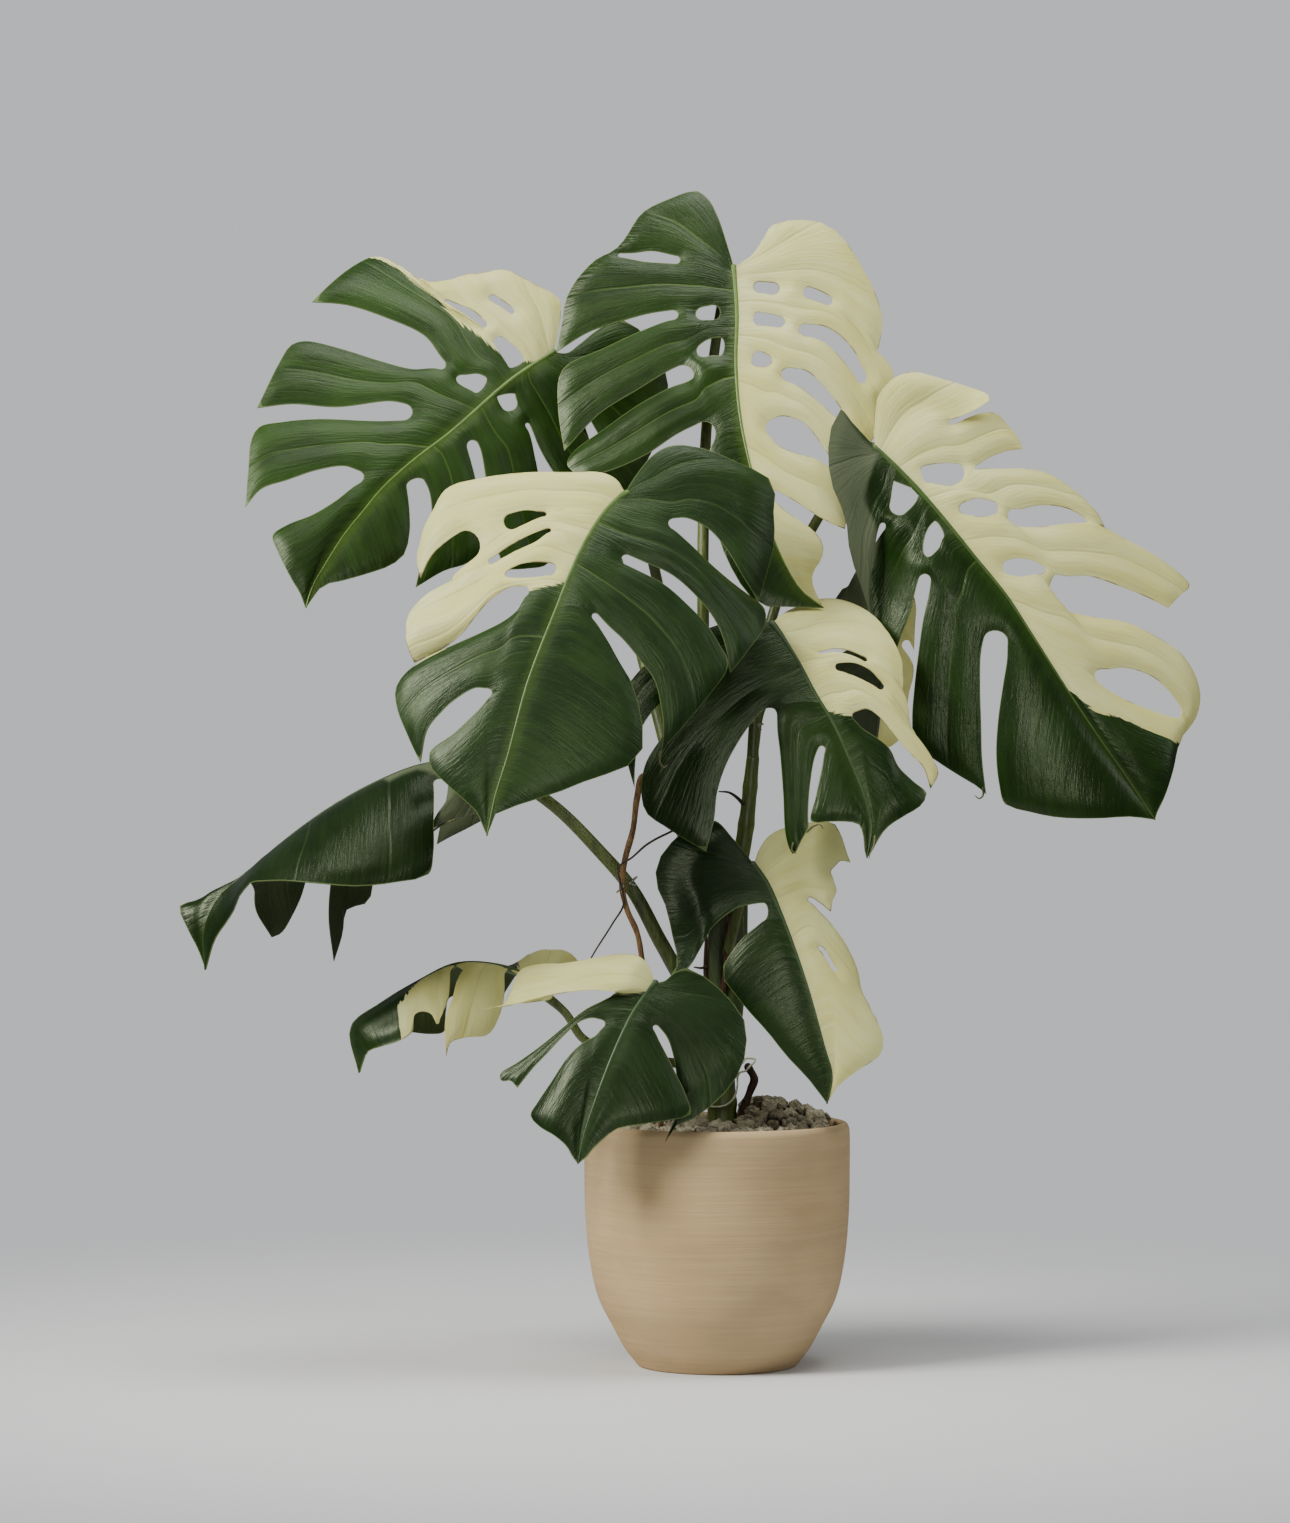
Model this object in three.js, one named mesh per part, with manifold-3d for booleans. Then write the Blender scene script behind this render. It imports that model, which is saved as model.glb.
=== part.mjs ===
import * as THREE from 'three';
import Module from 'manifold-3d';
import { mergeVertices } from 'three/addons/utils/BufferGeometryUtils.js';

// A potted monstera with ten split leaves, green and cream, in a tall terracotta cup.
// Millimetres, +Z up, origin at the centre of the pot's base, front towards -Y.

// Driving dimensions of the pot and what fills it
const POT_HEIGHT = 243;
const POT_FLOOR = 14;
const POT_SIDES = 32;
const SOIL_TOP = 226;
const PUMICE_BED = 7;
const GAP = 0.3;

// Driving dimensions of the leaves: the midrib stands proud below the blade, and bows forward by
// this share of its length
const BLADE_THICKNESS = 1.2;
const MIDRIB_DEPTH = 3;
const MIDRIB_BOW = 0.05;
const PETIOLE_SIDES = 6;
const PETIOLE_STEP = 30;
const PETIOLE_JOINT = 9;

// How finely a blade is drawn: rows from the midrib to the margin, and columns across each lobe
const BLADE_ROWS = 6;
const LOBE_COLUMNS = 2;
const END_LOBE_COLUMNS = 3;

// The leaves are laid out as seen from the front: across and up from the pot's base centre, in mm
// at the depth of the pot's axis, by an eye this far to the side, in front and above.
const EYE = { x: -72, y: -4500, z: 603 };

function seen(across, up, depth) {
  const spread = 1 - depth / EYE.y;
  return new THREE.Vector3(
    EYE.x + (across - EYE.x) * spread,
    depth,
    EYE.z + (up - EYE.z) * spread,
  );
}

// Each leaf: its petiole from the stem, at a height, up to the blade; the plane that the blade hangs in,
// as [across, up, depth there, depth for each mm across, for each mm up]; how far its sides curl back;
// its midrib from the heart to the tip; and the lobes of each side in turn, with the web between each
// two. A lobe has its near edge from the midrib out, its outer margin and its far edge from the midrib
// out. A web has holes, each from its inner to its outer end, and an open slit from a point out to the
// margin. A third number is depth: behind the plane, or in all on a petiole.
const LEAVES = {
  leaf_upper_left: {
    petiole: {
      height: 462,
      radius: [7, 5],
      way: [
        [-8, 500, 24], [-34, 560, 44], [-62, 660, 84], [-88, 760, 130], [-112, 848, 170], [-138, 940, 194],
      ],
    },
    plane: [-163, 1013, 170, 0.25, 0.35],
    curl: 34,
    midrib: [
      [-163, 1013], [-200, 999], [-240, 965], [-270, 938], [-300, 915], [-330, 885], [-360, 850],
      [-390, 808], [-405, 783], [-411, 757],
    ],
    left: [
      {
        near: [[-163, 1013], [-158, 1035], [-156, 1052], [-158, 1066]],
        margin: [[-185, 1082], [-212, 1095]],
        far: [[-172, 1011], [-188, 1042], [-205, 1066], [-236, 1092]],
      },
      { holes: [[[-207, 1056], [-226, 1064]]] },
      {
        near: [[-178, 1009], [-196, 1040], [-217, 1055], [-242, 1091]],
        margin: [[-268, 1085]],
        far: [[-192, 1003], [-209, 1025], [-245, 1056], [-270, 1067], [-292, 1083]],
      },
      { holes: [[[-198, 1002], [-225, 1026]], [[-233, 1037], [-272, 1064]]] },
      {
        near: [[-207, 995], [-223, 1013], [-250, 1038], [-280, 1067, 6], [-300, 1086, 14]],
        margin: [[-320, 1101, 22], [-341, 1109, 26], [-364, 1099, 14], [-387, 1081, 2]],
        far: [
          [-222, 984], [-237, 991], [-257, 991], [-274, 1006], [-292, 1029], [-330, 1047], [-370, 1060],
          [-405, 1063],
        ],
      },
      { holes: [[[-234, 977], [-260, 987]]], open: [-271, 1000] },
      {
        near: [
          [-235, 969], [-243, 973], [-256, 980], [-278, 996], [-305, 996], [-340, 1005], [-375, 1016],
          [-412, 1024],
        ],
        margin: [[-426, 1020], [-438, 1002], [-450, 978]],
        far: [[-256, 950], [-290, 956], [-310, 961], [-327, 964], [-380, 958], [-425, 961], [-460, 957]],
      },
      { open: [-306, 951] },
      {
        near: [[-264, 943], [-290, 947], [-310, 945], [-340, 944], [-400, 946], [-435, 943], [-458, 938]],
        margin: [[-466, 925], [-469, 895]],
        far: [
          [-316, 899], [-337, 894], [-356, 894], [-372, 899], [-400, 895], [-430, 885], [-456, 876],
          [-472, 858],
        ],
      },
      { open: [-354, 888] },
      {
        near: [[-326, 889], [-342, 885], [-357, 882], [-383, 863], [-405, 850], [-430, 840], [-445, 829]],
        margin: [[-440, 814], [-425, 785], [-416, 771]],
      },
    ],
    right: [
      {
        near: [[-163, 1013], [-150, 1012], [-137, 1021], [-121, 1034], [-106, 1042], [-92, 1044]],
        margin: [[-77, 1035], [-62, 1015], [-50, 990], [-49, 965], [-56, 935], [-66, 910], [-78, 890]],
        far: [
          [-175, 1010], [-152, 985], [-137, 963], [-127, 946], [-117, 928], [-107, 908], [-96, 888],
          [-88, 876],
        ],
      },
      { holes: [[[-132, 955], [-113, 921]]] },
      {
        near: [
          [-182, 1006], [-161, 980], [-146, 955], [-136, 938], [-126, 921], [-116, 902], [-105, 884],
          [-96, 871],
        ],
        margin: [[-104, 862]],
        far: [[-205, 995], [-201, 968], [-186, 939], [-176, 915], [-160, 888], [-140, 862], [-122, 848]],
      },
      { holes: [[[-209, 972], [-208, 953]]], open: [-189, 943] },
      {
        near: [
          [-226, 978], [-224, 960], [-208, 948], [-190, 937], [-181, 905], [-177, 885], [-168, 850],
          [-163, 815],
        ],
        margin: [[-170, 800], [-190, 796]],
        far: [[-257, 949], [-243, 930], [-236, 915], [-231, 888], [-226, 860], [-222, 825], [-212, 795]],
      },
      { open: [-243, 925] },
      {
        near: [[-268, 940], [-253, 928], [-249, 915], [-241, 885], [-237, 860], [-235, 835], [-234, 815]],
        margin: [[-250, 801], [-272, 794]],
        far: [[-308, 907], [-298, 893], [-288, 875], [-285, 852], [-288, 830], [-296, 800], [-301, 777]],
      },
      { open: [-298, 887] },
      {
        near: [[-320, 895], [-312, 885], [-309, 870], [-307, 850], [-307, 832]],
        margin: [[-312, 811], [-325, 800], [-350, 791], [-375, 784], [-394, 779]],
      },
    ],
  },
  leaf_top: {
    petiole: {
      height: 412,
      radius: [7, 5],
      way: [
        [-6, 440, 12], [-16, 478, 10], [-21, 513, 12], [-18, 600, 22], [-14, 700, 42], [-14, 815, 62],
        [-11, 929, 88], [-2, 1017, 118], [8, 1072, 134],
      ],
    },
    plane: [17, 1098, 120, 0, 0.35],
    curl: 28,
    midrib: [
      [17, 1098], [20, 1050], [19, 1000], [23, 950], [33, 900], [45, 860], [58, 822], [70, 796], [84, 774],
      [106, 757],
    ],
    left: [
      {
        near: [[17, 1098], [11, 1118], [1, 1148], [-9, 1166], [-21, 1174]],
        margin: [[-48, 1166], [-75, 1152], [-90, 1130], [-98, 1119]],
        far: [[19, 1092], [-12, 1104], [-40, 1109], [-65, 1114], [-85, 1112], [-108, 1112]],
      },
      { holes: [[[-37, 1105], [-99, 1110]]] },
      {
        near: [[19, 1086], [-14, 1097], [-40, 1101], [-70, 1103], [-98, 1108], [-113, 1110]],
        margin: [[-136, 1091], [-151, 1066], [-156, 1038]],
        far: [
          [20, 1062], [-5, 1060], [-25, 1056], [-44, 1055], [-70, 1051], [-95, 1044], [-128, 1033],
          [-161, 1013],
        ],
      },
      { holes: [[[3, 1052], [-21, 1052]]], open: [-39, 1052] },
      {
        near: [[20, 1046], [-5, 1045], [-22, 1045], [-45, 1045], [-76, 1034], [-115, 1016], [-150, 1000]],
        margin: [[-158, 988], [-159, 955]],
        far: [
          [19, 1028], [-8, 1026], [-21, 1017], [-32, 1003], [-49, 994], [-80, 975], [-118, 951],
          [-153, 914],
        ],
      },
      { holes: [[[8, 1017], [-23, 1015]]], open: [-25, 993] },
      {
        near: [
          [19, 1007], [-8, 1009], [-18, 1003], [-24, 987], [-48, 977], [-79, 960], [-113, 936], [-146, 911],
        ],
        margin: [[-150, 900], [-142, 892]],
        far: [[21, 970], [2, 953], [-18, 942], [-40, 931], [-70, 911], [-100, 897], [-132, 887]],
      },
      { open: [-3, 936] },
      {
        near: [[26, 935], [6, 932], [-4, 922], [-10, 904]],
        margin: [[-10, 880], [-5, 850], [8, 810], [27, 776], [44, 760], [75, 758]],
      },
    ],
    right: [
      {
        near: [[17, 1098], [35, 1110], [46, 1126], [56, 1140]],
        margin: [[83, 1145], [108, 1141], [126, 1127], [142, 1103], [157, 1075], [166, 1045]],
        far: [[19, 1086], [37, 1084], [62, 1082], [90, 1079], [116, 1067], [140, 1042], [162, 1018]],
      },
      { holes: [[[36, 1078], [62, 1075]], [[86, 1074], [116, 1063]]] },
      {
        near: [[20, 1068], [37, 1072], [60, 1070], [88, 1067], [112, 1058], [138, 1032], [161, 1013]],
        margin: [[172, 1002], [177, 988]],
        far: [
          [20, 1056], [37, 1054], [60, 1050], [85, 1042], [110, 1038], [133, 1020], [150, 990], [163, 963],
        ],
      },
      { holes: [[[35, 1047], [68, 1043]], [[82, 1037], [152, 985]]] },
      {
        near: [
          [20, 1036], [37, 1039], [62, 1037], [86, 1030], [108, 1022], [130, 1000], [146, 976], [160, 955],
        ],
        margin: [[161, 935]],
        far: [[19, 1022], [37, 1016], [52, 1010], [68, 999], [90, 994], [112, 973], [130, 947], [146, 912]],
      },
      { holes: [[[34, 1007], [54, 1003]], [[66, 993], [124, 950]]] },
      {
        near: [[19, 1002], [37, 999], [54, 996], [66, 986], [86, 976], [104, 961], [121, 944], [137, 908]],
        margin: [[137, 893]],
        far: [[22, 966], [38, 957], [52, 947], [67, 949], [86, 943], [104, 922], [118, 900], [130, 878]],
      },
      { holes: [[[50, 939], [117, 903]]] },
      {
        near: [[24, 946], [38, 938], [51, 930], [62, 919], [82, 911], [101, 905], [116, 892], [127, 872]],
        margin: [[131, 855]],
        far: [[35, 893], [47, 884], [60, 875], [78, 864], [98, 851], [112, 843], [128, 836]],
      },
      { open: [56, 872] },
      {
        near: [[40, 876], [50, 870], [58, 863], [70, 853], [86, 842]],
        margin: [[98, 833], [106, 820], [105, 806], [98, 796], [95, 784]],
      },
    ],
  },
  leaf_right: {
    petiole: {
      height: 572,
      radius: [5.5, 5],
      way: [
        [36, 598, 22], [37, 635, 27], [44, 700, 38], [66, 780, 60], [98, 841, 80], [128, 890, 100],
        [148, 916, 100],
      ],
    },
    plane: [158, 918, 40, 0.08, 0.2],
    curl: 30,
    midrib: [
      [158, 918], [180, 897], [205, 871], [230, 842], [260, 805], [290, 768], [315, 730], [336, 697],
      [356, 666], [380, 630], [408, 590], [438, 545],
    ],
    left: [
      {
        near: [[158, 918], [148, 929, -4], [136, 942, -10], [124, 955, -16]],
        margin: [
          [114, 935, -18], [112, 900, -18], [118, 872, -16], [129, 848, -12], [132, 820, -10],
          [138, 796, -10], [149, 765, -10], [154, 742, -12],
        ],
        far: [
          [180, 897], [176, 880], [172, 858], [163, 840], [158, 815, -3], [154, 790, -6], [156, 755, -9],
          [157, 720, -12],
        ],
      },
      { holes: [[[185, 882], [180, 851]]], open: [167, 842] },
      {
        near: [
          [203, 874], [198, 862], [186, 850], [170, 838, 8], [156, 818, 22], [143, 800, 28], [128, 772, 28],
          [110, 733, 26],
        ],
        margin: [[135, 725, 22], [158, 715, 12]],
        far: [
          [224, 849], [212, 838], [206, 820], [206, 808], [203, 793], [198, 775], [192, 750], [183, 727],
          [175, 702],
        ],
      },
      { holes: [[[222, 842], [210, 809]]], open: [209, 790] },
      {
        near: [
          [238, 832], [227, 828], [222, 817], [213, 806], [214, 790], [212, 772], [206, 745], [201, 710],
          [197, 675], [195, 645], [198, 620],
        ],
        margin: [[220, 603], [245, 587], [260, 578]],
        far: [
          [282, 778], [273, 755], [269, 735], [264, 712], [263, 680], [264, 640], [265, 605], [269, 570],
        ],
      },
      { open: [280, 734] },
      {
        near: [
          [302, 750], [295, 740], [291, 725], [290, 705], [286, 680], [281, 645], [279, 610], [282, 580],
          [288, 560],
        ],
        margin: [[310, 553], [340, 547], [380, 546], [415, 548]],
      },
    ],
    right: [
      {
        near: [[158, 918], [157, 940], [161, 967], [175, 985], [195, 993]],
        margin: [[225, 986, -4], [254, 977, -12], [271, 970, -24]],
        far: [[168, 908], [190, 928], [212, 943], [236, 946, -4], [256, 954, -16], [272, 964, -30]],
      },
      { open: [232, 942] },
      {
        near: [[175, 902], [193, 921], [214, 935], [236, 940], [252, 947], [268, 952], [281, 950]],
        margin: [[293, 938], [302, 926]],
        far: [[187, 890], [207, 899], [235, 902], [257, 899], [274, 908], [290, 914], [306, 916]],
      },
      { holes: [[[204, 892], [245, 890]]], open: [257, 898] },
      {
        near: [
          [198, 878], [212, 882], [237, 880], [259, 895], [285, 896], [310, 896], [333, 891], [350, 880],
        ],
        margin: [[366, 868], [380, 853]],
        far: [
          [220, 853], [243, 861], [262, 867], [283, 862], [300, 856], [325, 860], [350, 857], [372, 846],
          [388, 838],
        ],
      },
      { holes: [[[242, 857], [281, 858]], [[289, 846], [371, 850]]], open: [384, 842] },
      {
        near: [
          [230, 842], [245, 850], [265, 848], [284, 850], [300, 839], [325, 838], [350, 841], [380, 841],
          [405, 828], [435, 812], [466, 789],
        ],
        margin: [[473, 779], [462, 768]],
        far: [
          [260, 805], [284, 804], [303, 807], [321, 803], [333, 794], [348, 789], [372, 789], [400, 780],
          [430, 768], [452, 757],
        ],
      },
      { holes: [[[286, 797], [331, 797]]], open: [332, 778] },
      {
        near: [
          [272, 790], [286, 791], [304, 788], [322, 790], [333, 776], [345, 757], [375, 748], [408, 743],
          [440, 728], [466, 710], [480, 687],
        ],
        margin: [[484, 668], [480, 648]],
        far: [
          [310, 738], [335, 722], [362, 706], [385, 696], [410, 697], [438, 687], [458, 667], [468, 650],
          [471, 634],
        ],
      },
      { holes: [[[379, 691], [467, 652]]] },
      {
        near: [
          [324, 716], [346, 701], [372, 690], [394, 673], [420, 660], [444, 651], [460, 645], [467, 630],
        ],
        margin: [[462, 618], [457, 595], [448, 568], [440, 552]],
      },
    ],
  },
  leaf_centre: {
    petiole: {
      height: 432,
      radius: [6.5, 5],
      way: [[-8, 470, -12], [-25, 560, -2], [-40, 640, 8], [-50, 730, 6], [-66, 810, -28], [-80, 852, -58]],
    },
    plane: [-92, 873, -80, 0, 0.3],
    curl: 34,
    midrib: [
      [-92, 873], [-112, 853], [-132, 822], [-147, 790], [-161, 755], [-176, 718], [-190, 680], [-201, 640],
      [-210, 606], [-222, 568], [-230, 529],
    ],
    left: [
      {
        near: [
          [-92, 873], [-100, 885], [-114, 892], [-150, 893], [-200, 892], [-240, 886], [-270, 877],
          [-284, 856], [-289, 832],
        ],
        margin: [[-300, 815], [-300, 800]],
        far: [
          [-111, 854], [-140, 853], [-172, 853], [-192, 855], [-215, 849], [-245, 839], [-268, 826],
          [-286, 809], [-297, 787],
        ],
      },
      { open: [-171, 851] },
      {
        near: [
          [-120, 842], [-148, 846], [-172, 849], [-192, 841], [-210, 832], [-224, 822], [-242, 808],
          [-258, 795],
        ],
        margin: [[-266, 786]],
        far: [
          [-130, 826], [-150, 834], [-167, 837], [-186, 831], [-205, 821], [-225, 808], [-245, 796],
          [-262, 782],
        ],
      },
      { open: [-166, 835] },
      {
        near: [
          [-135, 816], [-152, 828], [-166, 833], [-182, 823], [-202, 814], [-228, 800], [-260, 786],
          [-290, 770], [-308, 752],
        ],
        margin: [[-311, 744]],
        far: [
          [-143, 799], [-160, 801], [-178, 803], [-197, 801], [-212, 793], [-237, 774], [-268, 751],
          [-311, 735],
        ],
      },
      { holes: [[[-161, 796], [-212, 792]]] },
      {
        near: [
          [-149, 786], [-162, 790], [-180, 788], [-200, 787], [-213, 787], [-238, 769], [-269, 746],
          [-311, 731],
        ],
        margin: [[-309, 716]],
        far: [
          [-153, 776], [-175, 780], [-193, 779], [-209, 777], [-228, 764], [-243, 747], [-257, 730, 3],
          [-275, 716, 6], [-303, 702, 6],
        ],
      },
      { open: [-188, 775] },
      {
        near: [
          [-160, 760], [-178, 768], [-192, 768], [-198, 757], [-212, 745], [-235, 733], [-262, 721],
          [-290, 708], [-312, 692],
        ],
        margin: [[-322, 676], [-320, 655], [-311, 632], [-303, 614]],
        far: [
          [-185, 695], [-206, 688], [-228, 677], [-242, 677], [-260, 667], [-276, 653], [-290, 635],
          [-297, 602],
        ],
      },
      { open: [-226, 674] },
      {
        near: [[-192, 675], [-210, 674], [-226, 669], [-236, 658], [-248, 646], [-264, 631], [-288, 612]],
        margin: [[-286, 597], [-270, 580], [-250, 562], [-240, 552], [-235, 541]],
      },
    ],
    right: [
      {
        near: [[-92, 873], [-80, 891], [-65, 909], [-50, 918], [-33, 920]],
        margin: [[-8, 915], [18, 904], [42, 893], [57, 881], [57, 850, 8], [58, 822, 10], [50, 790, 12]],
        far: [
          [-102, 863], [-75, 857], [-48, 847], [-30, 847], [-8, 836], [9, 817], [24, 792], [42, 763, 10],
        ],
      },
      { open: [-48, 842] },
      {
        near: [
          [-110, 855], [-82, 845], [-48, 838], [-30, 824], [-8, 803], [15, 783, 10], [33, 769, 14],
          [48, 756, 16],
        ],
        margin: [[48, 738, 8], [32, 715]],
        far: [[-128, 829], [-100, 815], [-75, 804], [-45, 790], [-20, 768], [-2, 745], [8, 722], [14, 692]],
      },
      { open: [-94, 810] },
      {
        near: [
          [-134, 818], [-108, 808], [-82, 796], [-52, 780], [-28, 759], [-10, 740], [3, 720], [12, 700],
        ],
        margin: [[-12, 664], [-38, 633], [-53, 615]],
        far: [
          [-149, 785], [-134, 768], [-121, 753], [-107, 738], [-94, 726], [-76, 704], [-62, 684],
          [-55, 655], [-53, 630], [-57, 601],
        ],
      },
      { open: [-123, 752] },
      {
        near: [[-160, 757], [-142, 758], [-125, 747], [-112, 729], [-98, 705]],
        margin: [
          [-86, 685], [-77, 655], [-73, 622], [-79, 606], [-97, 595], [-125, 586], [-160, 572], [-198, 560],
          [-221, 551], [-227, 541],
        ],
      },
    ],
  },
  leaf_mid_right: {
    petiole: {
      height: 600,
      radius: [6, 4.5],
      way: [[38, 650, 4], [43, 700, 2], [50, 728, -12]],
    },
    plane: [56, 742, -30, 0, 0.25],
    curl: 20,
    midrib: [[56, 742], [78, 708], [99, 670], [116, 642], [134, 602], [149, 564], [155, 538], [150, 507]],
    left: [
      {
        near: [[56, 742], [30, 746], [-5, 738], [-45, 718], [-80, 692]],
        margin: [[-98, 660], [-94, 620], [-88, 595]],
        far: [[66, 727], [35, 712], [0, 690], [-30, 675], [-57, 661], [-76, 636], [-82, 603], [-83, 577]],
      },
      { open: [-28, 678] },
      {
        near: [[74, 714], [40, 700], [10, 682], [-15, 664], [-40, 644], [-60, 621], [-73, 598]],
        margin: [[-76, 572], [-71, 552], [-52, 538], [-30, 524]],
        far: [
          [94, 680], [74, 670], [55, 661], [42, 651], [25, 629], [9, 600], [0, 572], [-3, 545], [-11, 513],
        ],
      },
      { open: [51, 659] },
      {
        near: [[104, 662], [82, 662], [62, 656], [60, 640], [63, 610], [66, 570], [68, 532], [72, 516]],
        margin: [[76, 510], [84, 524]],
        far: [[118, 638], [112, 630], [104, 621], [98, 608], [93, 580], [91, 555], [91, 537]],
      },
      { open: [105, 619] },
      {
        near: [[122, 630], [116, 626], [109, 617], [105, 598], [99, 570], [94, 543]],
        margin: [[110, 543], [131, 543], [144, 540]],
      },
    ],
    right: [
      {
        near: [[56, 742], [64, 750, 18], [76, 757, 40], [100, 766, 50], [127, 765, 44]],
        margin: [[155, 751, 28], [175, 727, 14], [186, 700, 4]],
        far: [[70, 722], [85, 716], [102, 714], [118, 717], [135, 714], [150, 707], [167, 695], [186, 677]],
      },
      { holes: [[[101, 712], [149, 703]]] },
      {
        near: [
          [77, 710], [88, 711], [102, 711], [118, 713], [134, 710], [149, 703], [167, 690], [187, 672],
        ],
        margin: [[191, 660]],
        far: [
          [87, 693], [105, 698], [121, 702], [139, 702], [155, 694], [167, 681], [180, 663], [193, 646],
        ],
      },
      { holes: [[[118, 700], [167, 677]]] },
      {
        near: [
          [93, 682], [108, 690], [121, 694], [132, 691], [148, 684], [163, 675], [177, 658], [195, 638],
        ],
        margin: [[204, 622], [216, 606], [222, 592]],
        far: [
          [112, 650], [124, 655], [137, 653], [150, 656], [163, 648], [178, 630], [193, 612], [207, 597],
          [214, 576],
        ],
      },
      { open: [135, 649] },
      {
        near: [
          [119, 637], [127, 642], [136, 645], [146, 636], [160, 627], [173, 616], [182, 598], [196, 584],
          [210, 571],
        ],
        margin: [[204, 559], [188, 549], [169, 536]],
      },
    ],
  },
  leaf_side_left: {
    petiole: {
      height: 352,
      radius: [8, 5.5],
      way: [[-28, 376, -16], [-55, 420, -24], [-85, 475, -32], [-120, 516, -40], [-160, 556, -47]],
    },
    plane: [-205, 597, -50, 0.1, 0],
    curl: 0,
    midrib: [
      [-205, 597, 0], [-250, 603, 0], [-292, 601, 2], [-340, 583, 6], [-390, 555, 10], [-430, 526, 12],
      [-468, 494, 12], [-498, 468, 6], [-513, 436, -4], [-512, 395, -12],
    ],
    left: [
      {
        near: [[-205, 597], [-198, 590, 20], [-200, 575, 50], [-210, 560, 70]],
        margin: [[-235, 545, 80], [-262, 530, 84]],
        far: [[-225, 600], [-240, 598, 30], [-262, 580, 70], [-275, 545, 92], [-280, 520, 98]],
      },
      { open: [-262, 580] },
      {
        near: [[-262, 602], [-278, 598, 32], [-304, 574, 70], [-330, 535, 92], [-344, 497, 104]],
        margin: [[-350, 463, 106], [-371, 455, 106], [-376, 430, 100]],
        far: [
          [-350, 578], [-358, 570, 34], [-372, 545, 68], [-384, 500, 88], [-389, 450, 92], [-384, 403, 86],
        ],
      },
      { open: [-376, 528] },
      {
        near: [[-375, 564], [-384, 556, 34], [-398, 530, 66], [-408, 500, 82], [-414, 476, 84]],
        margin: [[-425, 450, 78], [-436, 432, 72]],
        far: [[-440, 518], [-452, 504, 22], [-462, 480, 42], [-462, 455, 52], [-446, 427, 62]],
      },
      { open: [-464, 478] },
      {
        near: [[-462, 500], [-475, 488, 18], [-488, 474, 26], [-502, 466, 28]],
        margin: [[-537, 460, 20], [-530, 437, 6], [-519, 415, -4]],
      },
    ],
    right: [
      {
        near: [[-205, 597], [-196, 588, -12], [-190, 578, -26], [-192, 568, -36]],
        margin: [[-215, 556, -48], [-240, 551, -54], [-266, 545, -60], [-284, 536, -64], [-295, 518, -66]],
        far: [
          [-255, 603], [-263, 598, -22], [-268, 585, -38], [-272, 562, -52], [-284, 540, -60],
          [-296, 506, -64],
        ],
      },
      { open: [-277, 588] },
      {
        near: [
          [-285, 602], [-285, 594, -22], [-283, 575, -44], [-283, 545, -64], [-283, 512, -76],
          [-288, 490, -80],
        ],
        margin: [[-318, 483, -86], [-360, 479, -88], [-400, 482, -84], [-435, 485, -74]],
        far: [[-440, 518], [-450, 505, -22], [-458, 494, -40], [-462, 484, -58]],
      },
      {},
      {
        near: [[-450, 510], [-458, 500, -20], [-464, 490, -38], [-468, 482, -54]],
        margin: [[-478, 470, -50], [-484, 455, -42], [-492, 442, -34], [-503, 425, -24]],
      },
    ],
  },
  leaf_low_left: {
    petiole: {
      height: 280,
      radius: [5, 4],
      way: [[-28, 298, -14], [-75, 306, -20], [-112, 314, -24], [-135, 327, -26], [-152, 352, -28]],
    },
    plane: [-172, 372, -26, 0.08, 0],
    curl: 0,
    midrib: [
      [-172, 372, 0], [-195, 392, 0], [-225, 401, 2], [-262, 401, 6], [-300, 383, 10], [-338, 360, 10],
      [-366, 338, 2], [-358, 292, -14],
    ],
    left: [
      {
        near: [[-172, 372], [-160, 385, 14], [-146, 400, 34], [-138, 403, 52]],
        margin: [[-150, 414, 62], [-172, 414, 66]],
        far: [[-188, 386], [-186, 398, 20], [-188, 408, 42], [-196, 400, 66]],
      },
      {},
      {
        near: [[-198, 394], [-202, 398, 20], [-210, 394, 44], [-214, 372, 64]],
        margin: [[-225, 350, 70], [-240, 338, 72]],
        far: [[-238, 402], [-244, 396, 26], [-252, 380, 46], [-258, 355, 60], [-262, 335, 62]],
      },
      { open: [-255, 368] },
      {
        near: [[-252, 402], [-262, 395, 24], [-268, 378, 40], [-272, 352, 52], [-274, 333, 54]],
        margin: [[-288, 331, 52]],
        far: [[-302, 382], [-306, 372, 16], [-308, 355, 30], [-306, 333, 44]],
      },
      { open: [-308, 350] },
      {
        near: [[-316, 374], [-320, 362, 12], [-324, 350, 20], [-330, 338, 26]],
        margin: [[-345, 334, 28], [-360, 325, 20], [-361, 308, 4]],
      },
    ],
    right: [
      {
        near: [[-172, 372], [-167, 372, -8], [-164, 369, -14], [-167, 366, -20]],
        margin: [[-177, 364, -24], [-190, 362, -30]],
        far: [[-190, 388], [-194, 386, -14], [-201, 375, -26], [-209, 362, -34]],
      },
      { open: [-200, 392] },
      {
        near: [[-208, 398], [-212, 391, -16], [-212, 376, -28], [-215, 355, -38], [-228, 330, -42]],
        margin: [[-250, 327, -46], [-266, 322, -48]],
        far: [
          [-246, 402], [-254, 396, -14], [-260, 385, -26], [-265, 366, -38], [-272, 345, -46],
          [-271, 308, -48],
        ],
      },
      { open: [-256, 397] },
      {
        near: [[-262, 401], [-267, 394, -12], [-268, 380, -22], [-270, 364, -30], [-277, 345, -36]],
        margin: [[-279, 341, -36]],
        far: [[-292, 387], [-293, 378, -14], [-291, 364, -24], [-286, 352, -32], [-281, 342, -36]],
      },
      { open: [-290, 352] },
      {
        near: [[-304, 380], [-303, 372, -12], [-302, 358, -22], [-304, 345, -28], [-305, 333, -32]],
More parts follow.
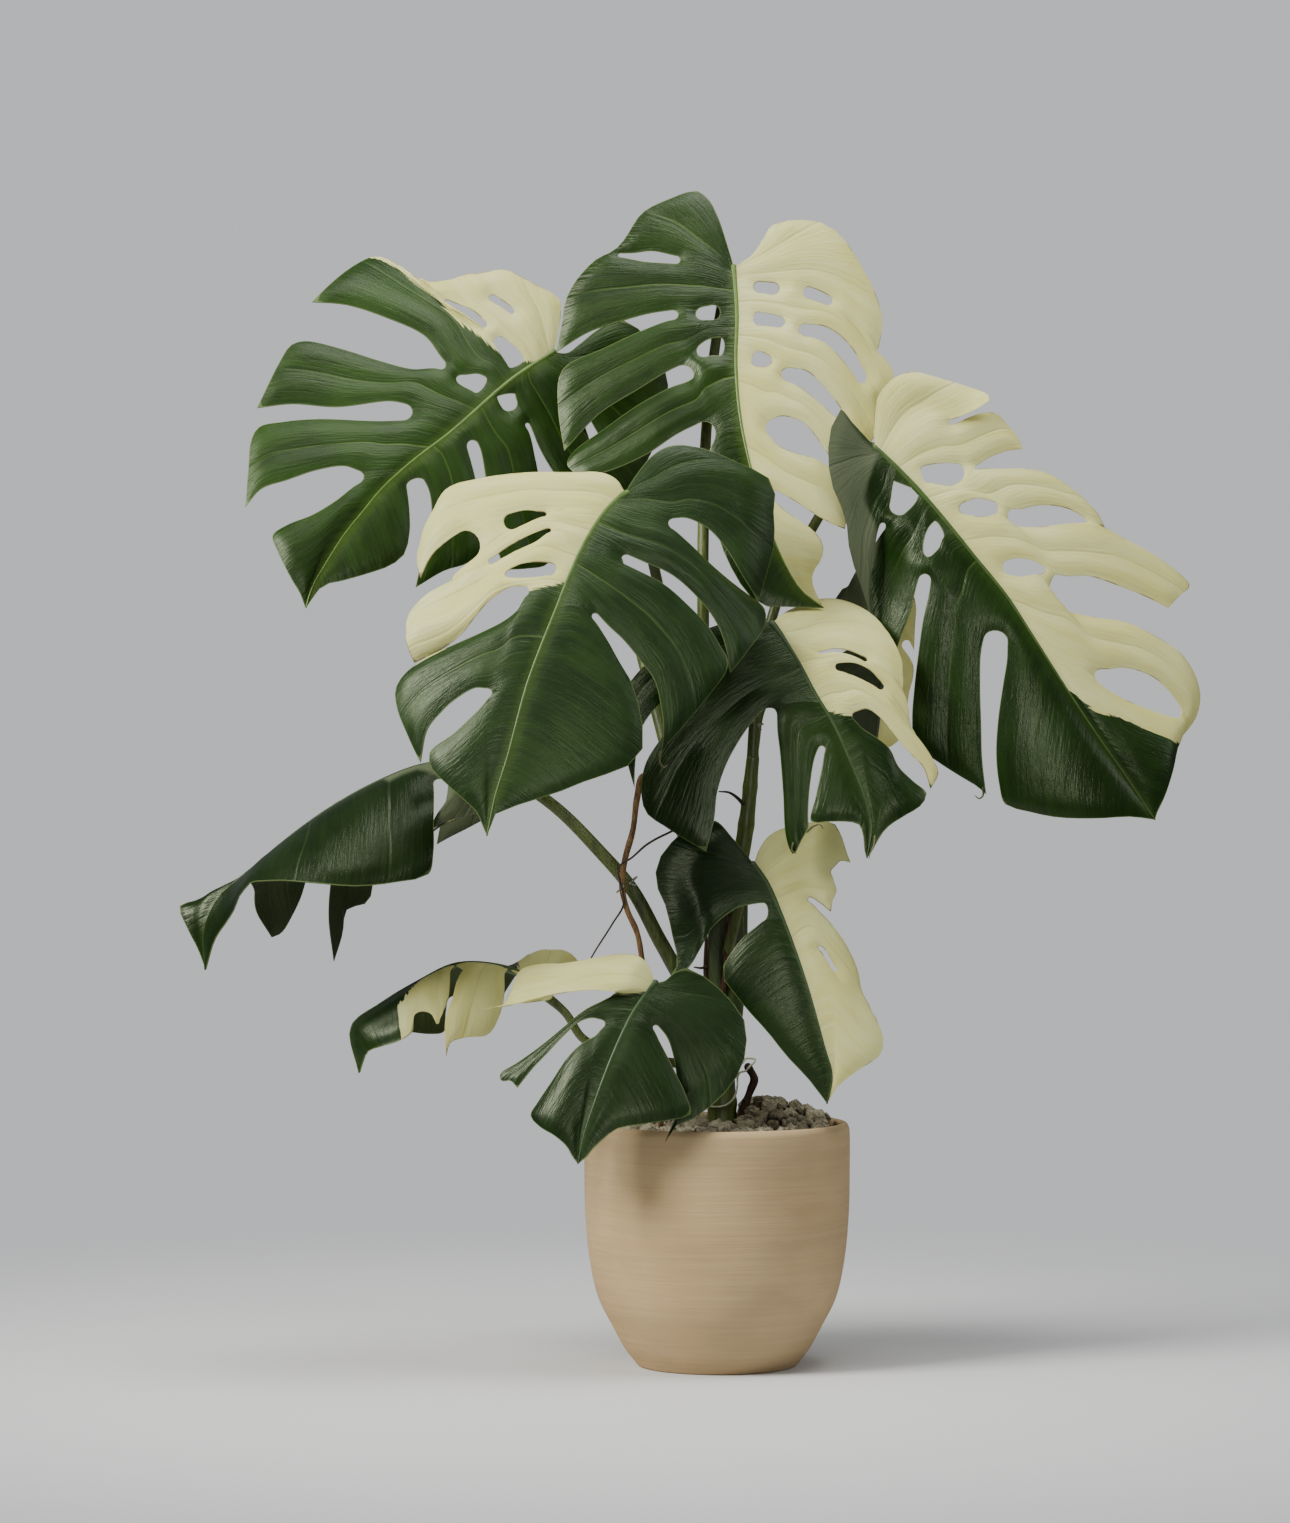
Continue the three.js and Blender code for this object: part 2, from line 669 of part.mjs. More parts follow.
        margin: [[-319, 324, -34], [-338, 318, -30], [-350, 313, -24], [-355, 302, -18]],
      },
    ],
  },
  leaf_low_front: {
    petiole: {
      height: 296,
      radius: [6, 4.5],
      way: [[-4, 318, -28], [-22, 352, -60], [-46, 376, -92]],
    },
    plane: [-62, 382, -112, 0, 0.3],
    curl: 22,
    midrib: [
      [-62, 382], [-73, 368], [-86, 348], [-100, 319], [-112, 290], [-123, 260], [-133, 230], [-139, 201],
    ],
    left: [
      {
        near: [
          [-62, 382], [-68, 399], [-78, 409], [-98, 411, 14], [-125, 407, 14], [-155, 402, 12],
          [-180, 401, 10], [-197, 395, 8],
        ],
        margin: [[-206, 376, -4], [-215, 360, -10]],
        far: [
          [-68, 374], [-85, 375, -6], [-102, 373, -12], [-125, 375, -16], [-150, 373, -18],
          [-180, 367, -18], [-207, 360, -16], [-236, 356, -12],
        ],
      },
      { open: [-101, 371] },
      {
        near: [
          [-76, 363], [-88, 368], [-102, 369], [-116, 363], [-132, 355], [-152, 339], [-175, 320],
          [-200, 302], [-217, 291],
        ],
        margin: [[-216, 284], [-207, 284]],
        far: [
          [-86, 348], [-100, 346], [-113, 345], [-126, 347], [-138, 343], [-152, 331], [-170, 312],
          [-185, 296], [-200, 277],
        ],
      },
      { open: [-112, 341] },
      {
        near: [
          [-93, 334], [-105, 337], [-114, 337], [-122, 329], [-136, 321], [-150, 307], [-166, 283],
          [-180, 262], [-187, 249],
        ],
        margin: [[-178, 238], [-163, 229], [-150, 218], [-144, 208]],
      },
    ],
    right: [
      {
        near: [[-62, 382], [-52, 384], [-42, 392], [-29, 396]],
        margin: [
          [-8, 385, 6], [14, 364, 10], [27, 346, 12], [30, 325, 12], [26, 300, 10], [14, 279, 8],
          [-2, 262, 6], [-22, 247, 6], [-40, 240, 4],
        ],
        far: [
          [-80, 357], [-69, 348], [-60, 340], [-50, 328, 4], [-44, 312, 8], [-40, 290, 12], [-38, 262, 14],
          [-52, 223, 8],
        ],
      },
      { open: [-63, 339] },
      {
        near: [
          [-88, 344], [-74, 342], [-64, 336], [-57, 323], [-49, 308], [-40, 290], [-31, 271], [-26, 250],
        ],
        margin: [[-50, 244], [-78, 240], [-100, 236], [-116, 224], [-129, 211], [-134, 203]],
      },
    ],
  },
  leaf_low_right: {
    petiole: {
      height: 392,
      radius: [6, 4.5],
      way: [[14, 425, -16], [24, 465, -26], [33, 488, -38]],
    },
    plane: [37, 501, -50, 0, 0.15],
    curl: 26,
    midrib: [
      [37, 501], [50, 482], [64, 451], [77, 417], [89, 382], [99, 348], [108, 315], [115, 290], [110, 261],
    ],
    left: [
      {
        near: [[37, 501], [28, 512], [16, 526], [-2, 544]],
        margin: [
          [-24, 540], [-44, 524], [-59, 503], [-61, 482], [-52, 461], [-46, 438], [-42, 418, -8],
          [-38, 404, -14],
        ],
        far: [
          [60, 460], [50, 462], [36, 461], [20, 457], [6, 448], [-7, 436], [-18, 416], [-31, 395, -14],
          [-47, 388, -30],
        ],
      },
      { open: [50, 455] },
      {
        near: [[67, 443], [58, 445], [49, 445], [38, 437], [26, 427], [14, 412], [6, 398]],
        margin: [[5, 388], [15, 374], [30, 355], [50, 333], [70, 308], [90, 287], [101, 273]],
      },
    ],
    right: [
      {
        near: [[37, 501], [42, 515], [50, 527], [62, 535]],
        margin: [[85, 541], [116, 542], [125, 528], [130, 512]],
        far: [[50, 482], [78, 491], [102, 495], [116, 497], [124, 504], [134, 502]],
      },
      { open: [115, 493] },
      {
        near: [[54, 473], [78, 484], [102, 489], [115, 489], [118, 482]],
        margin: [[120, 474], [116, 464]],
        far: [[61, 458], [76, 463], [92, 468], [103, 462], [114, 453]],
      },
      { open: [91, 465] },
      {
        near: [[67, 443], [78, 455], [91, 463], [104, 452], [118, 437], [131, 418], [141, 396]],
        margin: [[145, 376]],
        far: [[80, 409], [94, 418], [104, 419], [113, 408], [121, 394], [135, 376], [153, 359]],
      },
      { holes: [[[101, 417], [120, 394]]] },
      {
        near: [[83, 400], [94, 411], [103, 414], [110, 404], [118, 391], [133, 371], [155, 354]],
        margin: [[163, 338], [167, 322], [163, 309], [147, 298], [131, 287], [119, 276]],
      },
    ],
  },
  leaf_back: {
    petiole: {
      height: 530,
      radius: [5, 4],
      way: [
        [33, 578, 38], [38, 620, 44], [44, 655, 50], [66, 690, 52], [104, 730, 52], [140, 762, 56],
      ],
    },
    plane: [165, 776, 66, 0, -0.95],
    curl: -20,
    midrib: [[165, 776], [168, 740], [167, 700], [163, 660], [160, 630], [156, 604]],
    left: [
      {
        near: [[165, 776], [176, 786], [188, 782], [196, 770]],
        margin: [[199, 758], [198, 740]],
        far: [[168, 742], [180, 738], [190, 728], [197, 715]],
      },
      { open: [190, 728] },
      {
        near: [[168, 730], [178, 724], [188, 714], [196, 700]],
        margin: [[196, 688], [192, 672]],
        far: [[166, 690], [176, 682], [184, 670], [190, 655]],
      },
      { open: [182, 672] },
      {
        near: [[165, 680], [174, 672], [180, 660], [186, 645]],
        margin: [[184, 628], [172, 618], [160, 613]],
      },
    ],
    right: [
      {
        near: [[165, 776], [152, 786], [138, 784], [126, 774]],
        margin: [[112, 758], [104, 738]],
        far: [[168, 745], [150, 742], [128, 730], [104, 714]],
      },
      { open: [128, 730] },
      {
        near: [[168, 733], [150, 728], [128, 714], [102, 698]],
        margin: [[100, 688], [104, 674]],
        far: [[166, 692], [150, 684], [130, 668], [112, 652]],
      },
      { open: [134, 671] },
      {
        near: [[165, 682], [150, 672], [136, 656], [124, 638]],
        margin: [[130, 628], [145, 616]],
      },
    ],
  },
};

// Solids: closed meshes with shared corners, joined and cut where pieces meet.
const wasm = await Module();
wasm.setup();

function solidOf(geometry) {
  const bare = geometry.clone();
  bare.deleteAttribute('normal');
  bare.deleteAttribute('uv');
  const merged = mergeVertices(bare, 1e-4);
  const mesh = new wasm.Mesh({
    numProp: 3,
    vertProperties: new Float32Array(merged.attributes.position.array),
    triVerts: new Uint32Array(merged.index.array),
  });
  return new wasm.Manifold(mesh);
}

function geometryOf(solid) {
  const mesh = solid.getMesh();
  const geometry = new THREE.BufferGeometry();
  const corners = new Float32Array(mesh.vertProperties);
  geometry.setAttribute('position', new THREE.BufferAttribute(corners, 3));
  geometry.setIndex(new THREE.BufferAttribute(new Uint32Array(mesh.triVerts), 1));
  return geometry;
}

function vectors(points) {
  return points.map(([x, y, z = 0]) => new THREE.Vector3(x, y, z));
}

// A round stalk along a smooth path, with its radius given along the way from 0 to 1.
function stalk(points, radiusAt, steps, sides) {
  const path = new THREE.CatmullRomCurve3(points);
  const section = new THREE.Shape();
  section.moveTo(1, 0);
  for (let side = 1; side < sides; side += 1) {
    const turn = (2 * Math.PI * side) / sides;
    section.lineTo(Math.cos(turn), Math.sin(turn));
  }
  section.closePath();
  const geometry = new THREE.ExtrudeGeometry(section, {
    steps,
    extrudePath: path,
    bevelEnabled: false,
  });
  const centres = path.getSpacedPoints(steps);
  const place = geometry.attributes.position;
  const point = new THREE.Vector3();
  for (let i = 0; i < place.count; i += 1) {
    point.fromBufferAttribute(place, i);
    let nearest = 0;
    centres.forEach((centre, k) => {
      if (centre.distanceTo(point) < centres[nearest].distanceTo(point)) nearest = k;
    });
    const radius = radiusAt(nearest / steps);
    point.sub(centres[nearest]).multiplyScalar(radius).add(centres[nearest]);
    place.setXYZ(i, point.x, point.y, point.z);
  }
  return geometry;
}

function stepsAlong(points, step) {
  const length = new THREE.CatmullRomCurve3(points).getLength();
  return Math.max(2, Math.round(length / step));
}

// A run is a line of points [across, up, depth], read at 0 to 1 of its length.
const SPAN_READS = 12;
const RUN_READS = 200;

class Run {
  constructor(line) {
    this.line = line;
    this.reach = [0];
    for (let i = 1; i < line.length; i += 1) {
      this.reach.push(this.reach[i - 1] + line[i].distanceTo(line[i - 1]));
    }
    this.length = this.reach[line.length - 1];
  }

  at(share) {
    const goal = Math.min(Math.max(share, 0), 1) * this.length;
    let i = 1;
    while (i < this.line.length - 1 && this.reach[i] < goal) i += 1;
    const part = (goal - this.reach[i - 1]) / (this.reach[i] - this.reach[i - 1] || 1);
    return mix(this.line[i - 1], this.line[i], part);
  }

  nearest([across, up]) {
    let best = 0;
    let least = Infinity;
    for (let k = 0; k <= RUN_READS; k += 1) {
      const point = this.at(k / RUN_READS);
      const distance = Math.hypot(point.x - across, point.y - up);
      if (distance < least) {
        least = distance;
        best = k / RUN_READS;
      }
    }
    return best;
  }
}

function mix(a, b, share) {
  return a.clone().lerp(b, share);
}

function smoothLine(points) {
  const curve = new THREE.CatmullRomCurve3(vectors(points), false, 'centripetal');
  return curve.getPoints((points.length - 1) * SPAN_READS);
}

// A lobe's edges as runs: its near edge runs on into its outer margin round one smooth corner.
function lobeRuns({ near, margin, far }, root, farRoot, tip) {
  const end = far ? far[far.length - 1] : tip.toArray();
  const line = smoothLine([root.toArray(), ...near.slice(1), ...margin, end]);
  const corner = (near.length - 1) * SPAN_READS;
  return {
    near: new Run(line.slice(0, corner + 1)),
    margin: new Run(line.slice(corner)),
    far: new Run(far ? smoothLine([farRoot.toArray(), ...far.slice(1)]) : [tip, tip]),
  };
}

// Columns: a web is one wide, the lobes at both ends start with more, and the widest lobes get the
// rest, so that both sides of a blade have as many.
function widthOf({ near, margin, far }, tip) {
  const ends = vectors([near[near.length - 1], ...margin, far ? far[far.length - 1] : tip]);
  let width = 0;
  for (let k = 1; k < ends.length; k += 1) width += ends[k].distanceTo(ends[k - 1]);
  return width;
}

function columnsOf(strips, tip, total) {
  const widths = strips.map((strip) => (strip.near ? widthOf(strip, tip) : 0));
  const counts = strips.map((strip, k) => {
    if (!strip.near) return 1;
    return k === 0 || k === strips.length - 1 ? END_LOBE_COLUMNS : LOBE_COLUMNS;
  });
  for (let spare = total - sumOf(counts); spare > 0; spare -= 1) {
    const share = (k) => widths[k] / counts[k];
    const widest = widths.reduce((best, _, k) => (share(k) > share(best) ? k : best), 0);
    counts[widest] += 1;
  }
  return counts;
}

function sumOf(numbers) {
  return numbers.reduce((a, b) => a + b, 0);
}

// Where on the midrib, from 0 to 1, each column of a side stands.
function stationsOf(strips, counts, midrib) {
  const stations = [0];
  strips.forEach((strip, k) => {
    const edge = strip.near ? strip.far : strips[k + 1].near;
    const goal = edge ? midrib.nearest(edge[0]) : 1;
    const start = stations[stations.length - 1];
    for (let i = 1; i <= counts[k]; i += 1) {
      stations.push(start + ((goal - start) * i) / counts[k]);
    }
  });
  return stations;
}

// The rows of a web: the ends of its holes and of its slit fall on whole rows of both its edges.
function webRows({ holes = [], open }, far, near) {
  const mark = (point, cut) => ({ far: far.nearest(point), near: near.nearest(point), cut });
  const marks = [{ far: 0, near: 0, cut: false }];
  holes.forEach(([inner, outer]) => marks.push(mark(inner, true), mark(outer, false)));
  if (open) marks.push(mark(open, true));
  marks.push({ far: 1, near: 1, cut: false });
  const spans = marks.slice(1).map((end, k) => {
    const start = marks[k];
    return { start, end, rows: 1, size: end.far - start.far + end.near - start.near };
  });
  for (let spare = BLADE_ROWS - spans.length; spare > 0; spare -= 1) {
    const widest = spans.reduce((a, b) => (b.size / b.rows > a.size / a.rows ? b : a));
    widest.rows += 1;
  }
  const levels = spans.flatMap(({ start, end, rows }) => Array.from({ length: rows }, (_, row) => ({
    far: start.far + ((end.far - start.far) * row) / rows,
    near: start.near + ((end.near - start.near) * row) / rows,
    cut: start.cut,
  })));
  return [...levels, marks[marks.length - 1]];
}

// A column of a lobe, some share of the way from its near to its far edge, at those edges' levels.
function lobeColumn({ near, margin, far }, nearLevels, farLevels, share, root) {
  const inner = mix(near.at(0), far.at(0), share);
  const outer = mix(near.at(1), far.at(1), share);
  return nearLevels.map((nearLevel, j) => {
    const level = nearLevel + (farLevels[j] - nearLevel) * share;
    return mix(near.at(nearLevel), far.at(farLevels[j]), share)
      .add(mix(root, margin.at(share), level))
      .sub(mix(inner, outer, level));
  });
}

// One side of a blade: its columns of points from the heart to the tip, and the cells cut away.
function sideGrid(strips, counts, stations, midrib) {
  const tip = midrib.at(1);
  const firsts = counts.map((_, k) => sumOf(counts.slice(0, k)));
  const lobes = strips.map((strip, k) => {
    const root = midrib.at(stations[firsts[k]]);
    const farRoot = midrib.at(stations[firsts[k] + counts[k]]);
    return strip.near && lobeRuns(strip, root, farRoot, tip);
  });
  const webs = strips.map((strip, k) => (
    strip.near ? null : webRows(strip, lobes[k - 1].far, lobes[k + 1].near)));
  const even = Array.from({ length: BLADE_ROWS + 1 }, (_, j) => j / BLADE_ROWS);
  const columns = [];
  const cuts = [];
  strips.forEach((strip, k) => {
    if (!strip.near) {
      columns.push(webs[k].map((level) => lobes[k - 1].far.at(level.far)));
      cuts.push(webs[k].map((level) => level.cut));
      return;
    }
    const before = webs[k - 1] && webs[k - 1].map((level) => level.near);
    const after = webs[k + 1] && webs[k + 1].map((level) => level.far);
    for (let i = 0; i < counts[k]; i += 1) {
      const root = midrib.at(stations[firsts[k] + i]);
      const share = i / counts[k];
      const nearLevels = before || after || even;
      const farLevels = after || before || even;
      columns.push(lobeColumn(lobes[k], nearLevels, farLevels, share, root));
      cuts.push(even.map(() => false));
    }
  });
  columns.push(even.map(() => tip));
  return { columns, cuts };
}

// The sides of a blade first dip towards the front, then curl back: depth for each mm from the midrib.
const CURL = { reach: 150, rise: 1.1, ease: 0.35, dip: 0.15 };

function curlAt(distance) {
  const out = distance / CURL.reach;
  return (CURL.rise * out * out) / (1 + CURL.ease * out * out) - CURL.dip * out;
}

// The middle surface of a blade: its points in space and its triangles, facing the front.
function bladeSurface(leaf) {
  const midrib = new Run(smoothLine(leaf.midrib));
  const tip = leaf.midrib[leaf.midrib.length - 1];
  const sides = [leaf.left, leaf.right];
  const total = Math.max(...sides.map((strips) => sumOf(columnsOf(strips, tip, 0))));
  const counts = sides.map((strips) => columnsOf(strips, tip, total));
  const wanted = sides.map((strips, k) => stationsOf(strips, counts[k], midrib));
  const stations = wanted[0].map((station, i) => (station + wanted[1][i]) / 2);
  const [planeAcross, planeUp, planeDepth, slopeAcross, slopeUp] = leaf.plane;
  const bow = MIDRIB_BOW * midrib.length;
  const points = [];
  const place = (point, station, reach) => {
    const plane = planeDepth + slopeAcross * (point.x - planeAcross) + slopeUp * (point.y - planeUp);
    const depth = plane + point.z + leaf.curl * curlAt(reach) - bow * Math.sin(Math.PI * station);
    points.push(seen(point.x, point.y, depth));
    return points.length - 1;
  };
  const spine = stations.map((station) => place(midrib.at(station), station, 0));
  const triangles = [];
  sides.forEach((strips, side) => {
    const { columns, cuts } = sideGrid(strips, counts[side], stations, midrib);
    const index = columns.map((column, i) => {
      let reach = 0;
      return column.map((point, j) => {
        if (j === 0 || i === total) return spine[i];
        reach += point.distanceTo(column[j - 1]);
        return place(point, stations[i], reach);
      });
    });
    for (let i = 0; i < total; i += 1) {
      for (let j = 0; j < BLADE_ROWS; j += 1) {
        if (cuts[i][j]) continue;
        const corners = [index[i][j], index[i + 1][j], index[i + 1][j + 1], index[i][j + 1]];
        if (side === 0) corners.reverse();
        const [a, b, c, d] = corners;
        const shorter = points[a].distanceTo(points[c]) < points[b].distanceTo(points[d]);
        triangles.push(...(shorter ? [[a, b, c], [a, c, d]] : [[a, b, d], [b, c, d]]));
      }
    }
  });
  return {
    points,
    spine,
    triangles: triangles.filter(([a, b, c]) => a !== b && b !== c && a !== c),
  };
}

function faceNormal(points, [a, b, c]) {
  const along = new THREE.Vector3().subVectors(points[b], points[a]);
  return along.cross(new THREE.Vector3().subVectors(points[c], points[a]));
}

// The blade's solid: the surface given its thickness, and more below along the midrib.
function bladeGeometry({ points, triangles, spine }) {
  const used = [...new Set(triangles.flat())];
  const slot = new Map(used.map((point, k) => [point, k]));
  const normals = used.map(() => new THREE.Vector3());
  triangles.forEach((corners) => {
    const normal = faceNormal(points, corners);
    corners.forEach((point) => normals[slot.get(point)].add(normal));
  });
  normals.forEach((normal) => normal.normalize());
  const half = BLADE_THICKNESS / 2;
  const upper = used.map((point, k) => points[point].clone().addScaledVector(normals[k], half));
  const lower = used.map((point, k) => {
    const along = spine.indexOf(point);
    const fade = Math.min(1, along / 4) * (1 - along / (spine.length - 1));
    const rib = along < 0 ? 0 : MIDRIB_DEPTH * fade;
    return points[point].clone().addScaledVector(normals[k], -half - rib);
  });
  const edgesOf = ([a, b, c]) => [[a, b], [b, c], [c, a]];
  const edges = new Set(triangles.flatMap(edgesOf).map((edge) => edge.join()));
  const below = used.length;
  const index = [];
  triangles.forEach((corners) => {
    const [a, b, c] = corners.map((point) => slot.get(point));
    index.push(a, b, c, below + a, below + c, below + b);
    edgesOf(corners).forEach(([from, to]) => {
      if (edges.has([to, from].join())) return;
      const start = slot.get(from);
      const end = slot.get(to);
      index.push(end, start, below + start, end, below + start, below + end);
    });
  });
  const position = [...upper, ...lower].flatMap((point) => point.toArray());
  const geometry = new THREE.BufferGeometry();
  geometry.setAttribute('position', new THREE.Float32BufferAttribute(position, 3));
  geometry.setIndex(index);
  return geometry;
}

// Stem: a thick green vine that leans right as it climbs: [x, y, z]
const STEM = vectors([
  [5, 0, 190], [5, 0, 250], [4, 3, 330], [8, 8, 400], [16, 10, 470], [28, 8, 530], [36, 5, 606],
]);
const STEM_RADIUS = { foot: 16, top: 6.5 };
const STEM_STEPS = 14;
const STEM_SIDES = 8;

function stemGeometry(room) {
  const radiusAt = (t) => STEM_RADIUS.foot + (STEM_RADIUS.top - STEM_RADIUS.foot) * t + room;
  return stalk(STEM, radiusAt, STEM_STEPS, STEM_SIDES);
}

function stemAt(height) {
  const reads = new THREE.CatmullRomCurve3(STEM).getPoints(RUN_READS);
  return reads.find((point) => point.z >= height) || reads[RUN_READS];
}

// Short roots that bud from the stem, each from the stem's middle out: [x, y, z]
const ROOTLETS = [
  [[30, 7, 555], [21, -2, 566], [12, -5, 572], [2, -6, 573]],
  [[8, 8, 398], [-8, -8, 399], [-16, -12, 397], [-23, -14, 398]],
];
const ROOTLET_RADIUS = { root: 1.3, tip: 0.5 };

function mainStem() {
  const { root, tip } = ROOTLET_RADIUS;
  return ROOTLETS.reduce((stem, way) => {
    const rootlet = stalk(vectors(way), (t) => root + (tip - root) * t, 5, 5);
    return stem.add(solidOf(rootlet));
  }, solidOf(stemGeometry(0)));
}

// A leaf: its blade and its petiole, grown as one, cut clear of the stem that it springs from. The
// petiole narrows into the blade a little way down the midrib.
function leafSolid(leaf, stemRoom) {
  const surface = bladeSurface(leaf);
  const { points, spine, triangles } = surface;
  const midrib = new Run(spine.map((point) => points[point]));
  const heart = spine.slice(0, 4);
  const below = triangles.filter((corners) => corners.some((point) => heart.includes(point)))
    .reduce((sum, corners) => sum.sub(faceNormal(points, corners)), new THREE.Vector3()).normalize();
  const [base, knee] = leaf.petiole.radius;
  const way = [
    stemAt(leaf.petiole.height),
    ...leaf.petiole.way.map((point) => seen(...point)),
    midrib.at(PETIOLE_JOINT / midrib.length).addScaledVector(below, BLADE_THICKNESS),
  ];
  const radiusAt = (t) => (t < 1 ? base + (knee - base) * t : knee / 2);
  const petiole = stalk(way, radiusAt, stepsAlong(way, PETIOLE_STEP), PETIOLE_SIDES);
  return solidOf(bladeGeometry(surface)).add(solidOf(petiole)).subtract(stemRoom);
}

// Aerial roots, as seen: the thick one arches over and down into the gravel, the thin one dangles.
const ROOTS = {
  aerial_root_thick: {
    radius: [3.4, 2.6],
    height: 482,
    way: [
      [-18, 500, -28], [-42, 540, -20], [-62, 582, -18], [-74, 588, -22], [-80, 566, -28],
      [-84, 535, -36], [-92, 505, -46], [-95, 480, -46], [-90, 455, -42], [-80, 432, -40],
      [-75, 405, -40], [-70, 360, -36], [-62, 300, -30], [-57, 262, -28], [-56, 240, -28],
    ],
  },
  aerial_root_thin: {
    radius: [1.4, 0.8],
    height: 500,
    way: [
      [-10, 528, -30], [-35, 536, -34], [-52, 530, -38], [-70, 520, -46], [-85, 507, -57],
      [-98, 497, -60], [-93, 462, -59], [-105, 440, -50], [-125, 408, -44], [-132, 392, -40],
    ],
  },
};
const ROOT_STEP = 16;
const ROOT_SIDES = 5;

function rootSolid({ radius, height, way }, stemRoom) {
  const points = [stemAt(height), ...way.map((point) => seen(...point))];
  const radiusAt = (t) => radius[0] + (radius[1] - radius[0]) * t;
  const root = stalk(points, radiusAt, stepsAlong(points, ROOT_STEP), ROOT_SIDES);
  return solidOf(root).subtract(stemRoom);
}

// The room that the thick root's foot takes up in the gravel
function rootRoom({ radius, way }) {
  const foot = way.slice(-4).map((point) => seen(...point));
  return solidOf(stalk(foot, () => radius[1] + 2 * GAP, 6, ROOT_SIDES));
}

// The dark dead root stub that stands in the gravel beside the stem: [x, y, z]
const STUB = [[24, -8, 212], [25, -8, 250], [33, -8, 274], [37, -8, 286], [31, -8, 298]];
const STUB_RADIUS = 4;

function stubSolid(room) {
  return solidOf(stalk(vectors(STUB), () => STUB_RADIUS + room, 7, 6));
}

// Ties: thin wire, wound once round what it holds, with its two ends standing out.
const WIRE_RADIUS = 0.8;
const WIRE_STEPS = 30;
const WIRE_SIDES = 4;
const TIES = {
  tie_upper: { centre: [38.4, 4.6, 641], loop: [8, 8], tilt: 0, ends: 12 },
  tie_left: { centre: [-90, -37.5, 481], loop: [12.5, 14], tilt: -0.7, ends: 12 },
};
const TIE_OPENING = 0.25;
const TIE_TURNS = 12;
const TIE_RISE = 2;

function wire(points) {
  return solidOf(stalk(points, () => WIRE_RADIUS, WIRE_STEPS, WIRE_SIDES));
}

function tieSolid({ centre, loop, tilt, ends }) {
  const way = [];
  for (let k = 0; k <= TIE_TURNS; k += 1) {
    const part = k / TIE_TURNS;
    const turn = -Math.PI / 2 + TIE_OPENING + 2 * part * (Math.PI - TIE_OPENING);
    way.push([loop[0] * Math.cos(turn), loop[1] * Math.sin(turn), TIE_RISE * (part - 0.5)]);
  }
  way.unshift([way[0][0] + 0.3 * ends, -loop[1] - 0.15 * ends, -0.5 * ends]);
  way.push([-0.3 * ends, -loop[1] - 0.2 * ends, ends]);
  const lean = new THREE.Vector3(0, 1, 0);
  return wire(vectors(way).map((point) => (
    point.applyAxisAngle(lean, tilt).add(new THREE.Vector3(...centre)))));
}

// The string at the stem's foot, from round its front up to a loop over the stub: [x, y, z]
const FOOT_STRING = [
  [-11, -5, 260], [-6, -12, 259], [3, -15.4, 259], [11, -14.8, 262], [17.5, -13, 269],
  [20, -12.5, 279], [20.5, -12.5, 289], [23, -13.2, 293], [28, -13.4, 294.5], [32, -13, 298.5],
  [37, -10.5, 303], [38, -8, 305.5], [33, -6, 306.5], [28, -8, 306], [26, -10.5, 302.5],
];

// Pot: a thrown cup, widest below the rim, narrowing to a flat foot: [radius, height]
const POT_OUTSIDE = [
  [79, 0], [82, 4], [93, 18], [105, 40], [119, 68], [127.5, 105], [132, 150], [133, 200],
  [132.5, POT_HEIGHT - 3], [130, POT_HEIGHT],
];
const POT_INSIDE = [
  [124, POT_HEIGHT], [122.5, POT_HEIGHT - 4], [123, 190], [121, 140], [112, 85], [96, 45],
  [76, POT_FLOOR],
];
const DRAINS = { count: 3, radius: 7, ring: 38, sides: 8 };

function latheZ(profile, sides) {
  const points = profile.map(([radius, height]) => new THREE.Vector2(radius, height));
  return new THREE.LatheGeometry(points, sides).rotateX(Math.PI / 2);
}

function potSolid() {
  const { count, radius, ring, sides } = DRAINS;
  let body = solidOf(latheZ([[0, 0], ...POT_OUTSIDE, ...POT_INSIDE, [0, POT_FLOOR]], POT_SIDES));
  for (let k = 0; k < count; k += 1) {
    const turn = (2 * Math.PI * k) / count + Math.PI / 2;
    const drain = new THREE.CylinderGeometry(radius, radius, 4 * POT_FLOOR, sides);
    drain.rotateX(Math.PI / 2).translate(ring * Math.cos(turn), ring * Math.sin(turn), 0);
    body = body.subtract(solidOf(drain));
  }
  return body;
}

// Radius of the pot's filling at a height: the pot's hollow there, less a gap.
const FILLING_GAP = 1.2;

function fillingAt(height) {
  const k = Math.max(1, POT_INSIDE.findIndex(([, level]) => height >= level));
  const [upper, top] = POT_INSIDE[k - 1];
  const [lower, bottom] = POT_INSIDE[k];
  return lower + ((upper - lower) * (height - bottom)) / (top - bottom) - FILLING_GAP;
}

function soilSolid(rooms) {
  const base = POT_FLOOR + GAP;
  const side = [base, 45, 85, 140, 190, SOIL_TOP].map((height) => [fillingAt(height), height]);
  const body = solidOf(latheZ([[0, base], ...side, [0, SOIL_TOP]], POT_SIDES));
  return rooms.reduce((rest, room) => rest.subtract(room), body);
}

// Gravel: rough stones in rings on a thin bed, heaped up a little to the right of the stem.
const HEAP = { across: 50, deep: 25, spread: 48, height: 20, sides: 14 };
const STONE = { pitch: 32, least: 12, spare: 5, flatness: 0.8 };

function seededRandom(seed) {
  let state = seed;
  return () => {
    state = (state * 1664525 + 1013904223) % 2 ** 32;
    return state / 2 ** 32;
  };
}

function heapHeight(away) {
  return HEAP.height * Math.exp(-((away / HEAP.spread) ** 2));
}

